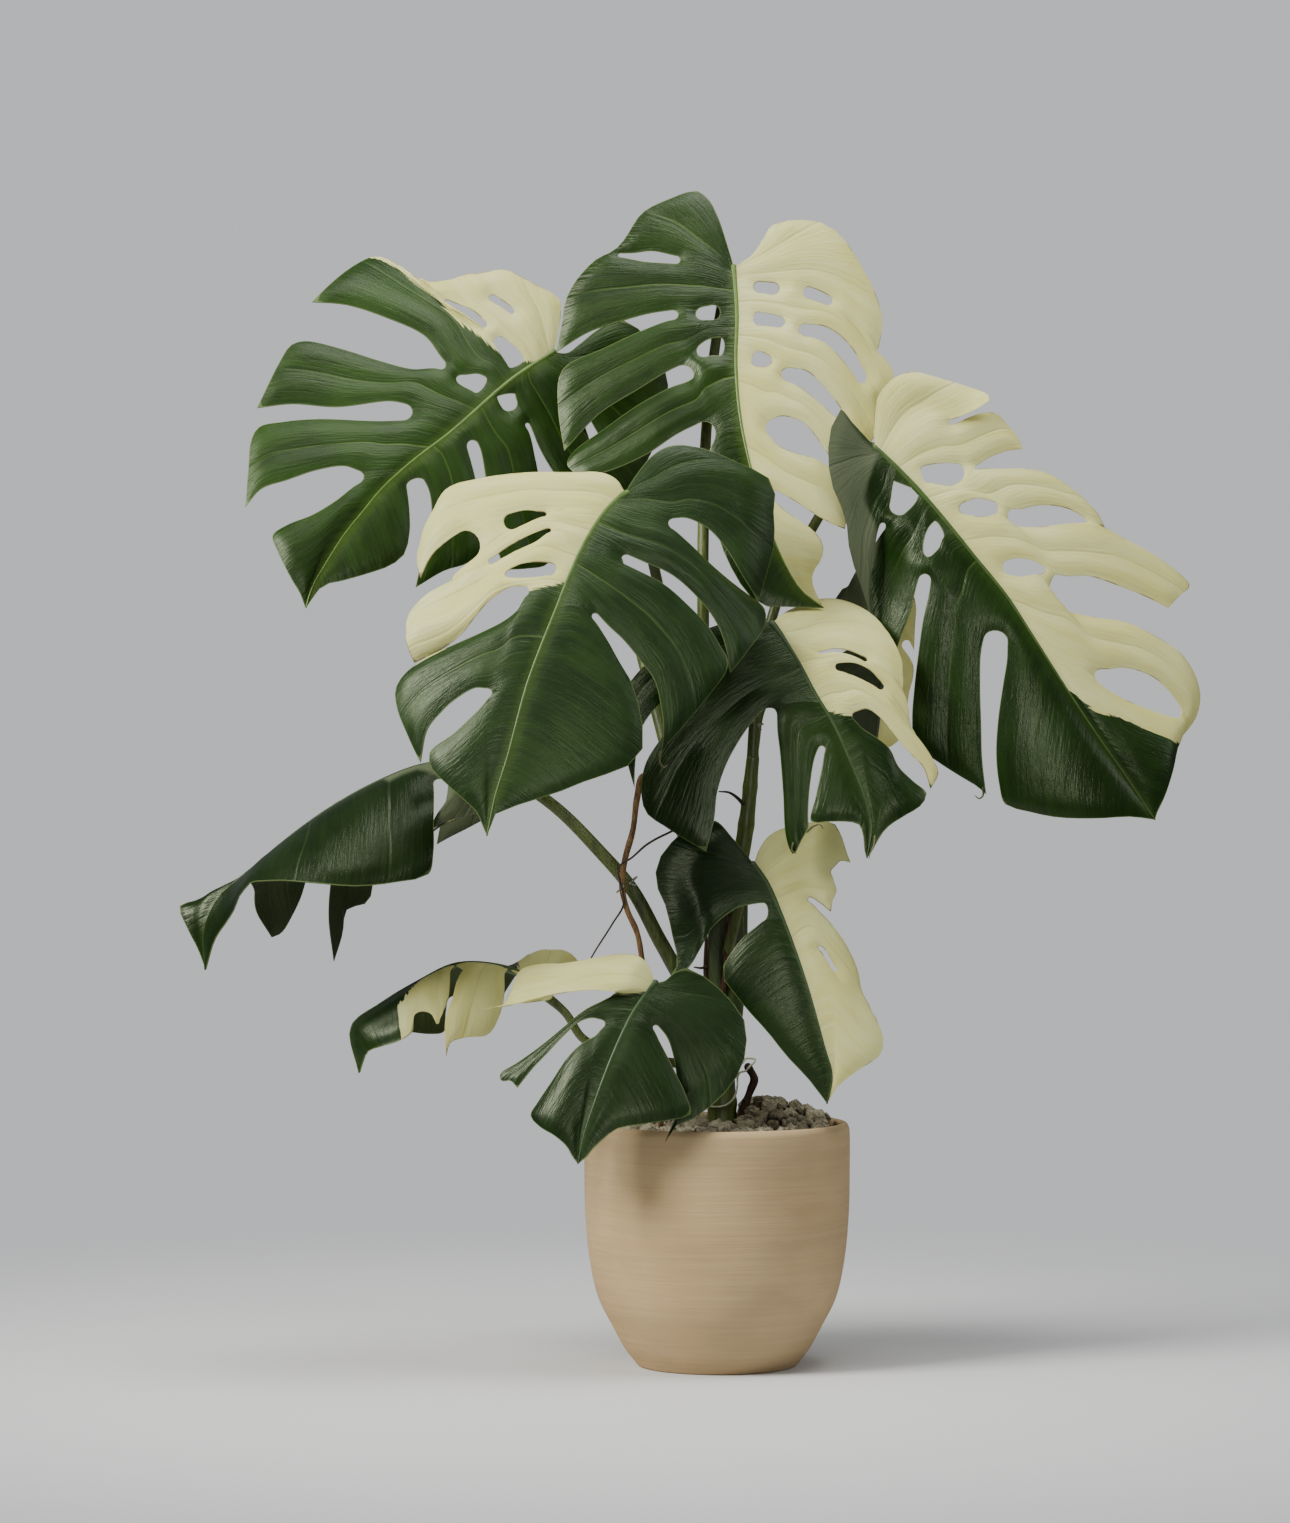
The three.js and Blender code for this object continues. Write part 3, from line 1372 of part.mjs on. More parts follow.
function stoneSolid(place, size, random) {
  const geometry = new THREE.IcosahedronGeometry(size, 0);
  geometry.deleteAttribute('normal');
  geometry.deleteAttribute('uv');
  const rough = mergeVertices(geometry, 1e-3);
  const corners = rough.attributes.position;
  const corner = new THREE.Vector3();
  for (let i = 0; i < corners.count; i += 1) {
    corner.fromBufferAttribute(corners, i).multiplyScalar(0.8 + 0.4 * random());
    corners.setXYZ(i, corner.x, corner.y, corner.z);
  }
  const turn = 2 * Math.PI;
  rough.rotateX(turn * random()).rotateZ(turn * random()).scale(1, 1, STONE.flatness);
  return solidOf(rough.translate(...place));
}

// Loose scraps that a cut leaves are dropped.
function largest(solid) {
  return solid.decompose().sort((a, b) => b.volume() - a.volume())[0];
}

function gravelBed(rim) {
  const base = SOIL_TOP + GAP;
  const level = SOIL_TOP + PUMICE_BED;
  const bed = latheZ([[0, base], [rim, base], [rim, level], [0, level]], POT_SIDES);
  const slope = [1.4, 1, 0.7, 0.35, 0].map((part) => part * HEAP.spread)
    .map((away) => [away, level - 2 + heapHeight(away)]);
  const mound = latheZ([[0, base], [slope[0][0], base], ...slope], HEAP.sides);
  return solidOf(bed).add(solidOf(mound.translate(HEAP.across, HEAP.deep, 0)));
}

function pumiceSolid(rooms) {
  const random = seededRandom(7);
  const rim = fillingAt(SOIL_TOP);
  const base = SOIL_TOP + GAP;
  let layer = gravelBed(rim);
  const rings = Math.floor((rim - STONE.least) / STONE.pitch);
  for (let ring = 0; ring <= rings; ring += 1) {
    const radius = (ring + 0.15) * STONE.pitch;
    const stones = Math.max(1, Math.round((2 * Math.PI * radius) / STONE.pitch));
    for (let k = 0; k < stones; k += 1) {
      const turn = (2 * Math.PI * (k + 0.4 * random())) / stones + ring;
      const x = radius * Math.cos(turn);
      const y = radius * Math.sin(turn);
      const z = base + PUMICE_BED + heapHeight(Math.hypot(x - HEAP.across, y - HEAP.deep));
      layer = layer.add(stoneSolid([x, y, z], STONE.least + STONE.spare * random(), random));
    }
  }
  const hollow = [[0, base], [rim, base], [rim, 2 * POT_HEIGHT], [0, 2 * POT_HEIGHT]];
  layer = layer.intersect(solidOf(latheZ(hollow, POT_SIDES)));
  return largest(rooms.reduce((rest, room) => rest.subtract(room), layer));
}

// Finishes
function finish(color, roughness) {
  return new THREE.MeshStandardMaterial({ color, roughness, metalness: 0 });
}

const FINISHES = {
  terracotta: finish(0xc9a882, 0.85),
  soil: finish(0x3a2a1e, 0.95),
  pumice: finish(0x8c8073, 0.95),
  stem: finish(0x6f8f3f, 0.5),
  leaf: finish(0x2f5a2b, 0.35),
  thick_root: finish(0x8a5a2b, 0.7),
  thin_root: finish(0x3a2c22, 0.8),
  stub: finish(0x3b2017, 0.75),
  wire: finish(0x6d7368, 0.5),
};

// The plant in its pot
const plant = new THREE.Group();

function addPiece(name, solid, material) {
  const mesh = new THREE.Mesh(geometryOf(solid), material.clone());
  mesh.name = name;
  plant.add(mesh);
}

const stemRoom = solidOf(stemGeometry(GAP));
const stubRoom = stubSolid(GAP);
const { aerial_root_thick: thickRoot, aerial_root_thin: thinRoot } = ROOTS;

addPiece('pot', potSolid(), FINISHES.terracotta);
addPiece('soil', soilSolid([stemRoom, stubRoom]), FINISHES.soil);
addPiece('pumice', pumiceSolid([stemRoom, stubRoom, rootRoom(thickRoot)]), FINISHES.pumice);
addPiece('main_stem', mainStem(), FINISHES.stem);
Object.entries(LEAVES).forEach(([name, leaf]) => {
  addPiece(name, leafSolid(leaf, stemRoom), FINISHES.leaf);
});
addPiece('aerial_root_thick', rootSolid(thickRoot, stemRoom), FINISHES.thick_root);
addPiece('aerial_root_thin', rootSolid(thinRoot, stemRoom), FINISHES.thin_root);
addPiece('root_stub', stubSolid(0), FINISHES.stub);
Object.entries(TIES).forEach(([name, tie]) => addPiece(name, tieSolid(tie), FINISHES.wire));
addPiece('tie_base', wire(vectors(FOOT_STRING)), FINISHES.wire);

export default plant;
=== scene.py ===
import math
import random

import bpy
import numpy as np
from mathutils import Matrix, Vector, kdtree, noise


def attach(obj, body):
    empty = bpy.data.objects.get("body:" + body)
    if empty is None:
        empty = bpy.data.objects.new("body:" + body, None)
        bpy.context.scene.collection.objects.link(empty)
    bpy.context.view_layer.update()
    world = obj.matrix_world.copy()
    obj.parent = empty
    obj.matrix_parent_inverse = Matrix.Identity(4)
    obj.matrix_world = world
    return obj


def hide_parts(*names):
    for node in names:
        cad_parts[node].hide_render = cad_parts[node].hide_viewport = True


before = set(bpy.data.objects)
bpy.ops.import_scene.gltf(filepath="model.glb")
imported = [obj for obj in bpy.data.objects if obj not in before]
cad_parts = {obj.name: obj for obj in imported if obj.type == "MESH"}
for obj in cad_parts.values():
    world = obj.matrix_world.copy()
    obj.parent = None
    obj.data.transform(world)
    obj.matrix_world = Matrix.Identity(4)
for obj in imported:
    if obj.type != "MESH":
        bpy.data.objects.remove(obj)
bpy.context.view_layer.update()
bpy.ops.object.select_all(action="DESELECT")


# Pot: a tall thrown cup of pale terracotta, widest below its rim and narrow at its flat foot. Its
# rings are pulled up one after the other, over the rounded lip and down the inside to the floor,
# and three drain holes are cut through the foot. Faint rings from the wheel run round it.
MM = 0.001
POT_SIDES = 160
POT_OUTSIDE = [(76, 0), (79.5, 0.8), (83, 5), (93, 18), (105, 40), (119, 68), (127.3, 105), (131.7, 150),
               (132.7, 200), (132.6, 232), (131.8, 238.5), (129.5, 242.2)]
POT_LIP = [(126.5, 243), (124.2, 241.4), (123.2, 237)]
POT_INSIDE = [(123, 190), (121, 140), (112, 85), (96, 45), (78, 16), (60, 14)]
WALL_STEPS = 5
LIP_STEPS = 3
DRAINS = dict(count=3, radius=7, sides=32, ring=38, drill=56)


def rounded(points, steps):
    """A smooth line through given points, in that many steps between each two."""
    line = np.array(points, float)
    line = np.vstack([2 * line[0] - line[1], line, 2 * line[-1] - line[-2]])
    spans = np.linalg.norm(np.diff(line, axis=0), axis=1) ** 0.5
    spans[[0, -1]] = spans[[1, -2]]
    part = np.linspace(0, 1, steps, endpoint=False)[:, None]
    result = []
    for k in range(1, len(line) - 2):
        a, b, c, d = line[k - 1:k + 3]
        ta, tb, tc = np.maximum(spans[k - 1:k + 2], 0.001)
        out = (b - a) / ta - (c - a) / (ta + tb) + (c - b) / tb
        back = (c - b) / tb - (d - b) / (tb + tc) + (d - c) / tc
        rise = 3 * (c - b) - (2 * out + back) * tb
        turn = 2 * (b - c) + (out + back) * tb
        result.append(b + out * tb * part + rise * part ** 2 + turn * part ** 3)
    return np.vstack([*result, line[-2:-1]])


def turned(name, rings):
    """A turned piece: a disc that is pulled up ring by ring, each at its radius and height in mm."""
    radius, height = rings[0]
    bpy.ops.mesh.primitive_circle_add(
        vertices=POT_SIDES, radius=radius * MM, fill_type="NGON", location=(0, 0, height * MM))
    piece = bpy.context.object
    piece.name = name
    bpy.ops.object.transform_apply(location=True)
    bpy.ops.object.mode_set(mode="EDIT")
    bpy.ops.mesh.select_all(action="SELECT")
    for next_radius, next_height in rings[1:]:
        bpy.ops.mesh.extrude_region_move(
            TRANSFORM_OT_translate={"value": (0, 0, (next_height - height) * MM)})
        growth = next_radius / radius
        bpy.ops.transform.resize(value=(growth, growth, 1), center_override=(0, 0, 0))
        radius, height = next_radius, next_height
    bpy.ops.mesh.select_all(action="SELECT")
    bpy.ops.mesh.normals_make_consistent(inside=False)
    bpy.ops.object.mode_set(mode="OBJECT")
    return piece


def cut(piece, tool):
    """The piece with the tool's shape taken out of it."""
    modifier = piece.modifiers.new("cut", "BOOLEAN")
    modifier.object = tool
    modifier.solver = "EXACT"
    bpy.context.view_layer.objects.active = piece
    bpy.ops.object.modifier_apply(modifier=modifier.name)
    bpy.data.objects.remove(tool)


def smoothed(piece, angle):
    """The piece with soft shading, but for edges that are sharper than the angle in degrees."""
    bpy.ops.object.select_all(action="DESELECT")
    piece.select_set(True)
    bpy.context.view_layer.objects.active = piece
    bpy.ops.object.shade_smooth_by_angle(angle=math.radians(angle))
    return piece


def mounted(piece, node, slot):
    """The piece stands in for one node of the plant and rides with it."""
    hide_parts(node)
    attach(piece, "root")


class Pattern:
    """A value that varies over a surface. Arithmetic on it adds Math nodes to its material."""

    def __init__(self, socket):
        self.socket = socket

    def node(self, kind, inputs, output=0, **settings):
        """Another node of this material, with its settings and its sockets' values or links."""
        tree = self.socket.id_data
        made = tree.nodes.new(kind)
        for name, value in settings.items():
            setattr(made, name, value)
        for name, value in inputs.items():
            if isinstance(value, Pattern):
                tree.links.new(value.socket, made.inputs[name])
            else:
                made.inputs[name].default_value = value
        return Pattern(made.outputs[output])

    def math(self, operation, first, second):
        return self.node("ShaderNodeMath", {0: first, 1: second}, operation=operation)

    def __add__(self, other):
        return self.math("ADD", self, other)

    __radd__ = __add__

    def __sub__(self, other):
        return self.math("SUBTRACT", self, other)

    def __rsub__(self, other):
        return self.math("SUBTRACT", other, self)

    def __mul__(self, other):
        return self.math("MULTIPLY", self, other)

    __rmul__ = __mul__

    def fade(self, start, end):
        """0 where this value is at start or before, 1 at end or past it, smooth in between."""
        return self.node("ShaderNodeMapRange", {
            "Value": self, "From Min": start, "From Max": end, "To Min": 0.0, "To Max": 1.0,
        }, interpolation_type="SMOOTHSTEP")

    def blend(self, under, over):
        """Two colours mixed, the second showing where this value is 1."""
        colours = [c if isinstance(c, Pattern) else (*c, 1) for c in (under, over)]
        return self.node("ShaderNodeMix", {0: self, 6: colours[0], 7: colours[1]}, output=2,
                         data_type="RGBA")

    def stretched(self, x, y, z):
        """This place or direction, scaled along each axis."""
        return self.node("ShaderNodeVectorMath", {0: self, 1: (x, y, z)}, operation="MULTIPLY")

    def clouds(self, scale, detail=2.0, roughness=0.5):
        """Soft noise from 0 to 1 at this place, with its grain at 1 / scale metres."""
        return self.node("ShaderNodeTexNoise", {
            "Vector": self, "Scale": scale, "Detail": detail, "Roughness": roughness})

    def measure(self, name):
        """A value that the piece's own mesh carries at each of its points."""
        return self.node("ShaderNodeAttribute", {}, output="Fac", attribute_name=name)


def finish(name, **sockets):
    """A new material with plain values on its shader, and the place of each point as a pattern."""
    material = bpy.data.materials.new(name)
    material.use_nodes = True
    shader = material.node_tree.nodes["Principled BSDF"]
    for socket, value in sockets.items():
        shader.inputs[socket.replace("_", " ")].default_value = value
    place = material.node_tree.nodes.new("ShaderNodeTexCoord").outputs["Object"]
    return material, Pattern(place)


def dress(material, colour, roughness=None, alpha=None, relief=None, depth=1.0):
    """Links patterns to a material's shader. Relief is a height in mm, times depth."""
    tree = material.node_tree
    shader = tree.nodes["Principled BSDF"]
    for pattern, socket in ((colour, "Base Color"), (roughness, "Roughness"), (alpha, "Alpha")):
        if pattern:
            tree.links.new(pattern.socket, shader.inputs[socket])
    if relief:
        bump = relief.node("ShaderNodeBump", {"Height": relief, "Distance": depth * MM, "Strength": 1.0})
        tree.links.new(bump.socket, shader.inputs["Normal"])
    return material


def terracotta():
    """Pale baked clay: tan, a little pinker in patches, with fine rings and specks."""
    material, place = finish("terracotta", Roughness=0.8, Specular_IOR_Level=0.25)
    rings = place.stretched(6, 6, 260).clouds(1.0, detail=5.0, roughness=0.6)
    strokes = place.stretched(14, 14, 900).clouds(1.0, detail=3.0)
    patches = place.clouds(9.0, detail=3.0)
    grain = place.clouds(900.0)
    stains = place.stretched(5, 5, 8).clouds(1.0, detail=4.0, roughness=0.6)
    tone = patches.fade(0.3, 0.7).blend((0.47, 0.325, 0.16), (0.53, 0.385, 0.2))
    tone = (stains.fade(0.4, 0.62) * 0.6).blend(tone, (0.37, 0.275, 0.15))
    tone = (rings.fade(0.42, 0.62) * 0.14).blend(tone, (0.68, 0.5, 0.3))
    tone = (strokes.fade(0.45, 0.72) * 0.45).blend(tone, (0.47, 0.315, 0.17))
    tone = (grain.fade(0.62, 0.75) * 0.25).blend(tone, (0.4, 0.26, 0.13))
    return dress(material, colour=tone, roughness=0.72 + grain * 0.2,
                 relief=rings * 0.5 + strokes * 0.12 + grain * 0.08)


outside = rounded(POT_OUTSIDE, WALL_STEPS)
lip = rounded([POT_OUTSIDE[-1], *POT_LIP], LIP_STEPS)[1:]
inside = rounded([POT_LIP[-1], *POT_INSIDE], WALL_STEPS)[1:]
pot = turned("terracotta_pot", [tuple(ring) for ring in np.vstack([outside, lip, inside])])
for k in range(DRAINS["count"]):
    turn = 2 * math.pi * k / DRAINS["count"] + math.pi / 2
    bpy.ops.mesh.primitive_cylinder_add(
        vertices=DRAINS["sides"], radius=DRAINS["radius"] * MM, depth=DRAINS["drill"] * MM,
        location=(DRAINS["ring"] * MM * math.cos(turn), DRAINS["ring"] * MM * math.sin(turn), 0))
    cut(pot, bpy.context.object)
pot.data.materials.clear()
pot.data.materials.append(terracotta())
mounted(smoothed(pot, angle=40), "pot", "terracotta")


# Soil: dark potting mix that fills the cup to a little under its rim. Only its underside, at the
# drain holes, and small gaps in the gravel show it.
def potting_mix():
    """Dark crumbs of bark and peat."""
    material, place = finish("potting_mix", Roughness=0.95, Specular_IOR_Level=0.1)
    crumbs = place.clouds(220.0, detail=4.0, roughness=0.7)
    tone = crumbs.fade(0.35, 0.7).blend((0.02, 0.012, 0.008), (0.085, 0.05, 0.03))
    return dress(material, colour=tone, relief=crumbs, depth=3.0)


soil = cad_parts["soil"]
soil.material_slots[0].link = "OBJECT"
soil.material_slots[0].material = potting_mix()


# Gravel: loose lumps of grey-tan pumice, 15 to 25 mm across and full of pores, poured round the
# stem and heaped up to its right. Four lumps are shaped, and copied, turned and sized by a rule.
GRAVEL_BED = 226
GRAVEL_RIM = 121.5
HEAP = dict(x=55, y=14, spread=47, height=27)
LUMP_SEEDS = (3, 11, 27, 40)
HEAP_SEED = 5
LUMP_FLATS = dict(count=7, depth=0.72, round=1.1)
LUMP_KNOBS = dict(coarse=0.5, coarse_pitch=2.6, fine=0.3, fine_pitch=5.5, sink=0.12)
LUMP_SIZES = (7.5, 8.5, 9.5, 11)
LUMP_SPREAD = (0.9, 1.1)
LUMP_STRETCH = (0.8, 1.15)
LUMP_PITCH = 18
ROW_PITCH = 0.87
LUMP_DRIFT = (-3, 3)
LUMP_RISE = 6
LAYER = 13
LAST_LAYER = 4
RIM_SHARE = 0.8
STEM_CLEAR = dict(x=5, room=15, share=0.5)
# How far from another stone the painted shade between stones reaches, in mm.
SHADE_REACH = 4


def pumice_stone():
    """Rough grey-tan stone with dark pores and worn pale edges, and painted shade where stones meet."""
    material, place = finish("pumice_stone", Roughness=0.95, Specular_IOR_Level=0.15)
    crevice = place.measure("crevice")
    pores = place.node("ShaderNodeTexVoronoi", {"Vector": place, "Scale": 420.0, "Randomness": 1.0})
    patches = place.clouds(60.0, detail=4.0, roughness=0.65)
    grit = place.clouds(700.0, detail=3.0, roughness=0.7)
    tone = patches.fade(0.3, 0.7).blend((0.24, 0.21, 0.135), (0.5, 0.45, 0.31))
    tone = (grit.fade(0.45, 0.75) * 0.5).blend(tone, (0.6, 0.555, 0.43))
    pits = 1 - pores.fade(0.05, 0.32)
    tone = (pits * patches.fade(0.35, 0.6) * 0.75).blend(tone, (0.09, 0.075, 0.05))
    # Painted shade: nearly black where the stone comes close to another stone.
    tone = (crevice.fade(0.1, 0.7) * 0.92).blend(tone, (0.03, 0.024, 0.015))
    return dress(material, colour=tone, relief=pores.fade(0.0, 0.4) * 1.4 + grit * 0.7)


def lump(seed):
    """One rough stone of about unit size: a ball broken flat on a few sides, knobbly between."""
    bpy.ops.mesh.primitive_ico_sphere_add(subdivisions=3, radius=1)
    stone = bpy.context.object
    rule = random.Random(seed)
    flats = [Vector([rule.gauss(0, 1) for _ in range(3)]).normalized()
             for _ in range(LUMP_FLATS["count"])]
    shift = Vector((seed, 0, 0))
    for vertex in stone.data.vertices:
        way = vertex.co.normalized()
        flat = min([LUMP_FLATS["depth"] / max(way.dot(side), 0.01) for side in flats]
                   + [LUMP_FLATS["round"]])
        knobs = sum(LUMP_KNOBS[size] * abs(noise.noise(way * LUMP_KNOBS[size + "_pitch"] + shift))
                    for size in ("coarse", "fine"))
        vertex.co = way * (flat - LUMP_KNOBS["sink"] + knobs)
    return stone


def contact_shades(stones, each):
    """How near each point is to another stone, from 0 when it is clear to 1 where they touch. It sets the
    painted shade between stones.
    """
    reach = SHADE_REACH * MM
    tree = kdtree.KDTree(len(stones.data.vertices))
    for vertex in stones.data.vertices:
        tree.insert(vertex.co, vertex.index)
    tree.balance()
    values = []
    for vertex in stones.data.vertices:
        others = [gap for _, other, gap in tree.find_range(vertex.co, reach)
                  if other // each != vertex.index // each]
        values.append(1 - min(others, default=reach) / reach)
    return values


def lump_places(rule):
    """Where each lump lies, and its size: in rows inside the rim, clear of the stem, in layers."""
    rows = int(2 * GRAVEL_RIM / (LUMP_PITCH * ROW_PITCH))
    for row in range(rows + 1):
        for column in range(rows + 1):
            x = (column + 0.5 * (row % 2) - rows / 2) * LUMP_PITCH + rule.uniform(*LUMP_DRIFT)
            y = (row - rows / 2) * LUMP_PITCH * ROW_PITCH + rule.uniform(*LUMP_DRIFT)
            size = rule.choice(LUMP_SIZES) * rule.uniform(*LUMP_SPREAD)
            from_stem = math.hypot(x - STEM_CLEAR["x"], y) - STEM_CLEAR["share"] * size
            if math.hypot(x, y) > GRAVEL_RIM - RIM_SHARE * size or from_stem < STEM_CLEAR["room"]:
                continue
            away = ((x - HEAP["x"]) ** 2 + (y - HEAP["y"]) ** 2) / HEAP["spread"] ** 2
            lift = HEAP["height"] * math.exp(-away)
            for level in np.arange(0.0, lift + LAST_LAYER, LAYER):
                yield x, y, GRAVEL_BED + LUMP_RISE + lift - level, size


lumps = [lump(seed) for seed in LUMP_SEEDS]
rule = random.Random(HEAP_SEED)
stones = []
for x, y, height, size in lump_places(rule):
    stone = rule.choice(lumps).copy()
    stone.data = stone.data.copy()
    stone.rotation_euler = [rule.uniform(0, 2 * math.pi) for _ in range(3)]
    stone.scale = [size * MM * rule.uniform(*LUMP_STRETCH) for _ in range(3)]
    stone.location = (x * MM, y * MM, (height + rule.uniform(*LUMP_DRIFT)) * MM)
    bpy.context.collection.objects.link(stone)
    stones.append(stone)
for stone in lumps:
    bpy.data.objects.remove(stone)
bpy.ops.object.select_all(action="DESELECT")
for stone in stones:
    stone.select_set(True)
gravel = stones[0]
bpy.context.view_layer.objects.active = gravel
bpy.ops.object.join()
gravel.name = "pumice_gravel"
bpy.ops.object.transform_apply(location=True, rotation=True, scale=True)
# Each point carries how near it lies to another stone, for the painted shade between stones.
crevice = gravel.data.attributes.new("crevice", "FLOAT", "POINT")
crevice.data.foreach_set("value", contact_shades(gravel, len(gravel.data.vertices) // len(stones)))
gravel.data.materials.clear()
gravel.data.materials.append(pumice_stone())
mounted(smoothed(gravel, angle=35), "pumice", "pumice")


# Dead root: a dark, dry stub as thick as a pencil that stands in the gravel beside the stem and
# bends over at its cut end. It is a tube round a smooth path, with a dent here and there.
STUB_WAY = [(24, -8, 212), (25, -8, 250), (33, -8, 274), (37, -8, 286), (31, -8, 298)]
STUB = dict(radius=4, dent=0.16, pitch=9)
TUBE_DOMES = (30, 60, 82)
TUBE_SIDE = (0.3, 0.9, 0.2)


def tube(path, radii, sides):
    """A round tube in mm with domed ends, round a line of points."""
    path = np.array(path, float)
    radii = np.broadcast_to(np.asarray(radii, float), len(path))
    ends = [path[0] - path[1], path[-1] - path[-2]]
    ends = [end / np.linalg.norm(end) for end in ends]
    domes = [math.radians(turn) for turn in TUBE_DOMES]
    before = [path[0] + ends[0] * radii[0] * math.sin(a) for a in reversed(domes)]
    after = [path[-1] + ends[1] * radii[-1] * math.sin(a) for a in domes]
    sizes = [radii[0] * math.cos(a) for a in reversed(domes)] + list(radii)
    sizes += [radii[-1] * math.cos(a) for a in domes]
    path = np.vstack([before, path, after])
    ways = np.gradient(path, axis=0)
    ways /= np.linalg.norm(ways, axis=1)[:, None]
    side = np.cross(ways[0], TUBE_SIDE)
    turns = 2 * np.pi * np.arange(sides) / sides
    rings = []
    for centre, way, size in zip(path, ways, sizes):
        side = side - way * side.dot(way)
        side = side / np.linalg.norm(side)
        other = np.cross(way, side)
        rings.append(centre + size * (np.outer(np.cos(turns), side) + np.outer(np.sin(turns), other)))
    count = len(rings)
    faces = [
        (k * sides + i, k * sides + (i + 1) % sides, (k + 1) * sides + (i + 1) % sides, (k + 1) * sides + i)
        for k in range(count - 1) for i in range(sides)]
    faces.append(tuple(reversed(range(sides))))
    faces.append(tuple(range((count - 1) * sides, count * sides)))
    return dict(points=np.vstack(rings), faces=faces)


def tapered(way, steps, thick, sides, look):
    """A tube round a smooth path whose radius goes evenly from the first to the second."""
    path = rounded(way, steps)
    return dict(tube(path, np.linspace(*thick, len(path)), sides), look=look)


def built(name, parts, materials):
    """One smooth object from parts in mm. A part names its faces' material and its points' values."""
    faces, looks, start = [], [], 0
    for part in parts:
        faces += [[start + corner for corner in face] for face in part["faces"]]
        looks += list(part.get("looks", [part.get("look", 0)] * len(part["faces"])))
        start += len(part["points"])
    mesh = bpy.data.meshes.new(name)
    mesh.from_pydata(np.vstack([part["points"] for part in parts]) * MM, [], faces)
    for material in materials:
        mesh.materials.append(material)
    mesh.polygons.foreach_set("material_index", looks)
    for value in sorted({value for part in parts for value in part.get("values", {})}):
        numbers = [part.get("values", {}).get(value, np.zeros(len(part["points"]))) for part in parts]
        attribute = mesh.attributes.new(value, "FLOAT", "POINT")
        attribute.data.foreach_set("value", np.concatenate(numbers))
    piece = bpy.data.objects.new(name, mesh)
    bpy.context.collection.objects.link(piece)
    return smoothed(piece, angle=50)


def bark(name, dark, light, roughness=0.75):
    """Dry root skin: fine cracks along it, paler where it is worn."""
    material, place = finish(name, Roughness=roughness, Specular_IOR_Level=0.3)
    cracks = place.stretched(420, 420, 70).clouds(1.0, detail=4.0, roughness=0.65)
    patches = place.clouds(45.0, detail=3.0)
    tone = (cracks * 0.6 + patches * 0.4).fade(0.35, 0.65).blend(dark, light)
    return dress(material, colour=tone, relief=cracks, depth=0.6)


way = rounded(STUB_WAY, steps=12)
dents = [1 + STUB["dent"] * noise.noise(Vector(point) / STUB["pitch"]) for point in way]
stub = built("dead_root_stub", [tube(way, [STUB["radius"] * dent for dent in dents], sides=20)],
             [bark("dead_root_bark", (0.014, 0.006, 0.004), (0.07, 0.03, 0.018))])
mounted(stub, "root_stub", "stub")


# Foot string: a pale thin string laid round the front of the stem's foot, up its side and in a
# loose loop over the cut end of the dead root.
STRING_RADIUS = 1.0
STRING_WAY = [
    (-11, -5, 260), (-6, -12, 259), (3, -15.4, 259), (11, -14.8, 262), (17.5, -13, 269),
    (20, -12.5, 279), (20.5, -12.5, 289), (23, -13.2, 293), (28, -13.4, 294.5), (32, -13, 298.5),
    (37, -10.5, 303), (38, -8, 305.5), (33, -6, 306.5), (28, -8, 306), (26, -10.5, 302.5)]


def twine(name, dark, light):
    """Twisted fibres, paler on the strands' backs."""
    material, place = finish(name, Roughness=0.8)
    strands = place.clouds(500.0, detail=3.0)
    tone = strands.fade(0.35, 0.65).blend(dark, light)
    return dress(material, colour=tone, relief=strands, depth=0.4)


string = built("foot_string", [tube(rounded(STRING_WAY, steps=10), STRING_RADIUS, sides=10)],
               [twine("pale_string", (0.5, 0.5, 0.32), (0.8, 0.8, 0.62))])
mounted(string, "tie_base", "tie_string")


# Stem: a thick green vine that leans right as it climbs. It swells at its nodes, where old sheaths
# wrap it with brown papery edges, and two short dark rootlets bud from it.
STEM_LINE = rounded(
    [(5, 0, 190), (5, 0, 250), (4, 3, 330), (8, 8, 400), (16, 10, 470), (28, 8, 530), (36, 5, 606)],
    steps=24)
STEM_RADIUS = (16, 6.5)
ROOTLET = dict(steps=8, thick=(2.3, 0.7), sides=10, look=2)
SHEATH_EDGE = dict(steps=8, thick=(2.4, 1.1), sides=12, look=3)
NODES = dict(heights=(262, 304, 352, 398, 446, 492, 540, 578), swell=0.1, spread=6)
SHEATHS = [
    dict(way=[(7, -2, 296), (2, -3, 340), (-1, -3, 392), (1, -2, 440), (7, 0, 474)],
         radii=(13.5, 13, 10.5, 8.5, 5.5)),
    dict(way=[(12, -1, 330), (16, 0, 372), (20, 2, 415), (22, 3, 452), (25, 4, 500)],
         radii=(12, 12, 10.5, 9, 6.5)),
]
ROOTLETS = [[(30, 7, 555), (21, -2, 566), (12, -5, 572), (2, -6, 573)],
            [(8, 8, 398), (-8, -8, 399), (-16, -12, 397), (-23, -14, 398)]]
SHEATH_EDGES = [[(-10, -9, 368), (-12, -9, 395), (-11, -9, 425), (-9, -7, 458)],
                [(6, -13, 374), (8, -13, 405), (9, -12, 435), (9, -9, 466)]]


def green_stalk(name, deep, light):
    """Fleshy green skin: fine stripes along it, olive patches, a few corky specks."""
    material, place = finish(name, Roughness=0.42, Specular_IOR_Level=0.45)
    stripes = place.stretched(420, 420, 9).clouds(1.0, detail=3.0, roughness=0.6)
    patches = place.stretched(40, 40, 12).clouds(1.0, detail=3.0)
    specks = place.stretched(260, 260, 120).clouds(1.0)
    tone = (stripes * 0.5 + patches * 0.5).fade(0.36, 0.64).blend(deep, light)
    tone = (specks.fade(0.66, 0.74) * 0.7).blend(tone, (0.055, 0.032, 0.015))
    return dress(material, colour=tone, roughness=0.34 + stripes * 0.2, relief=stripes * 0.6 + specks * 0.2,
                 depth=0.5)


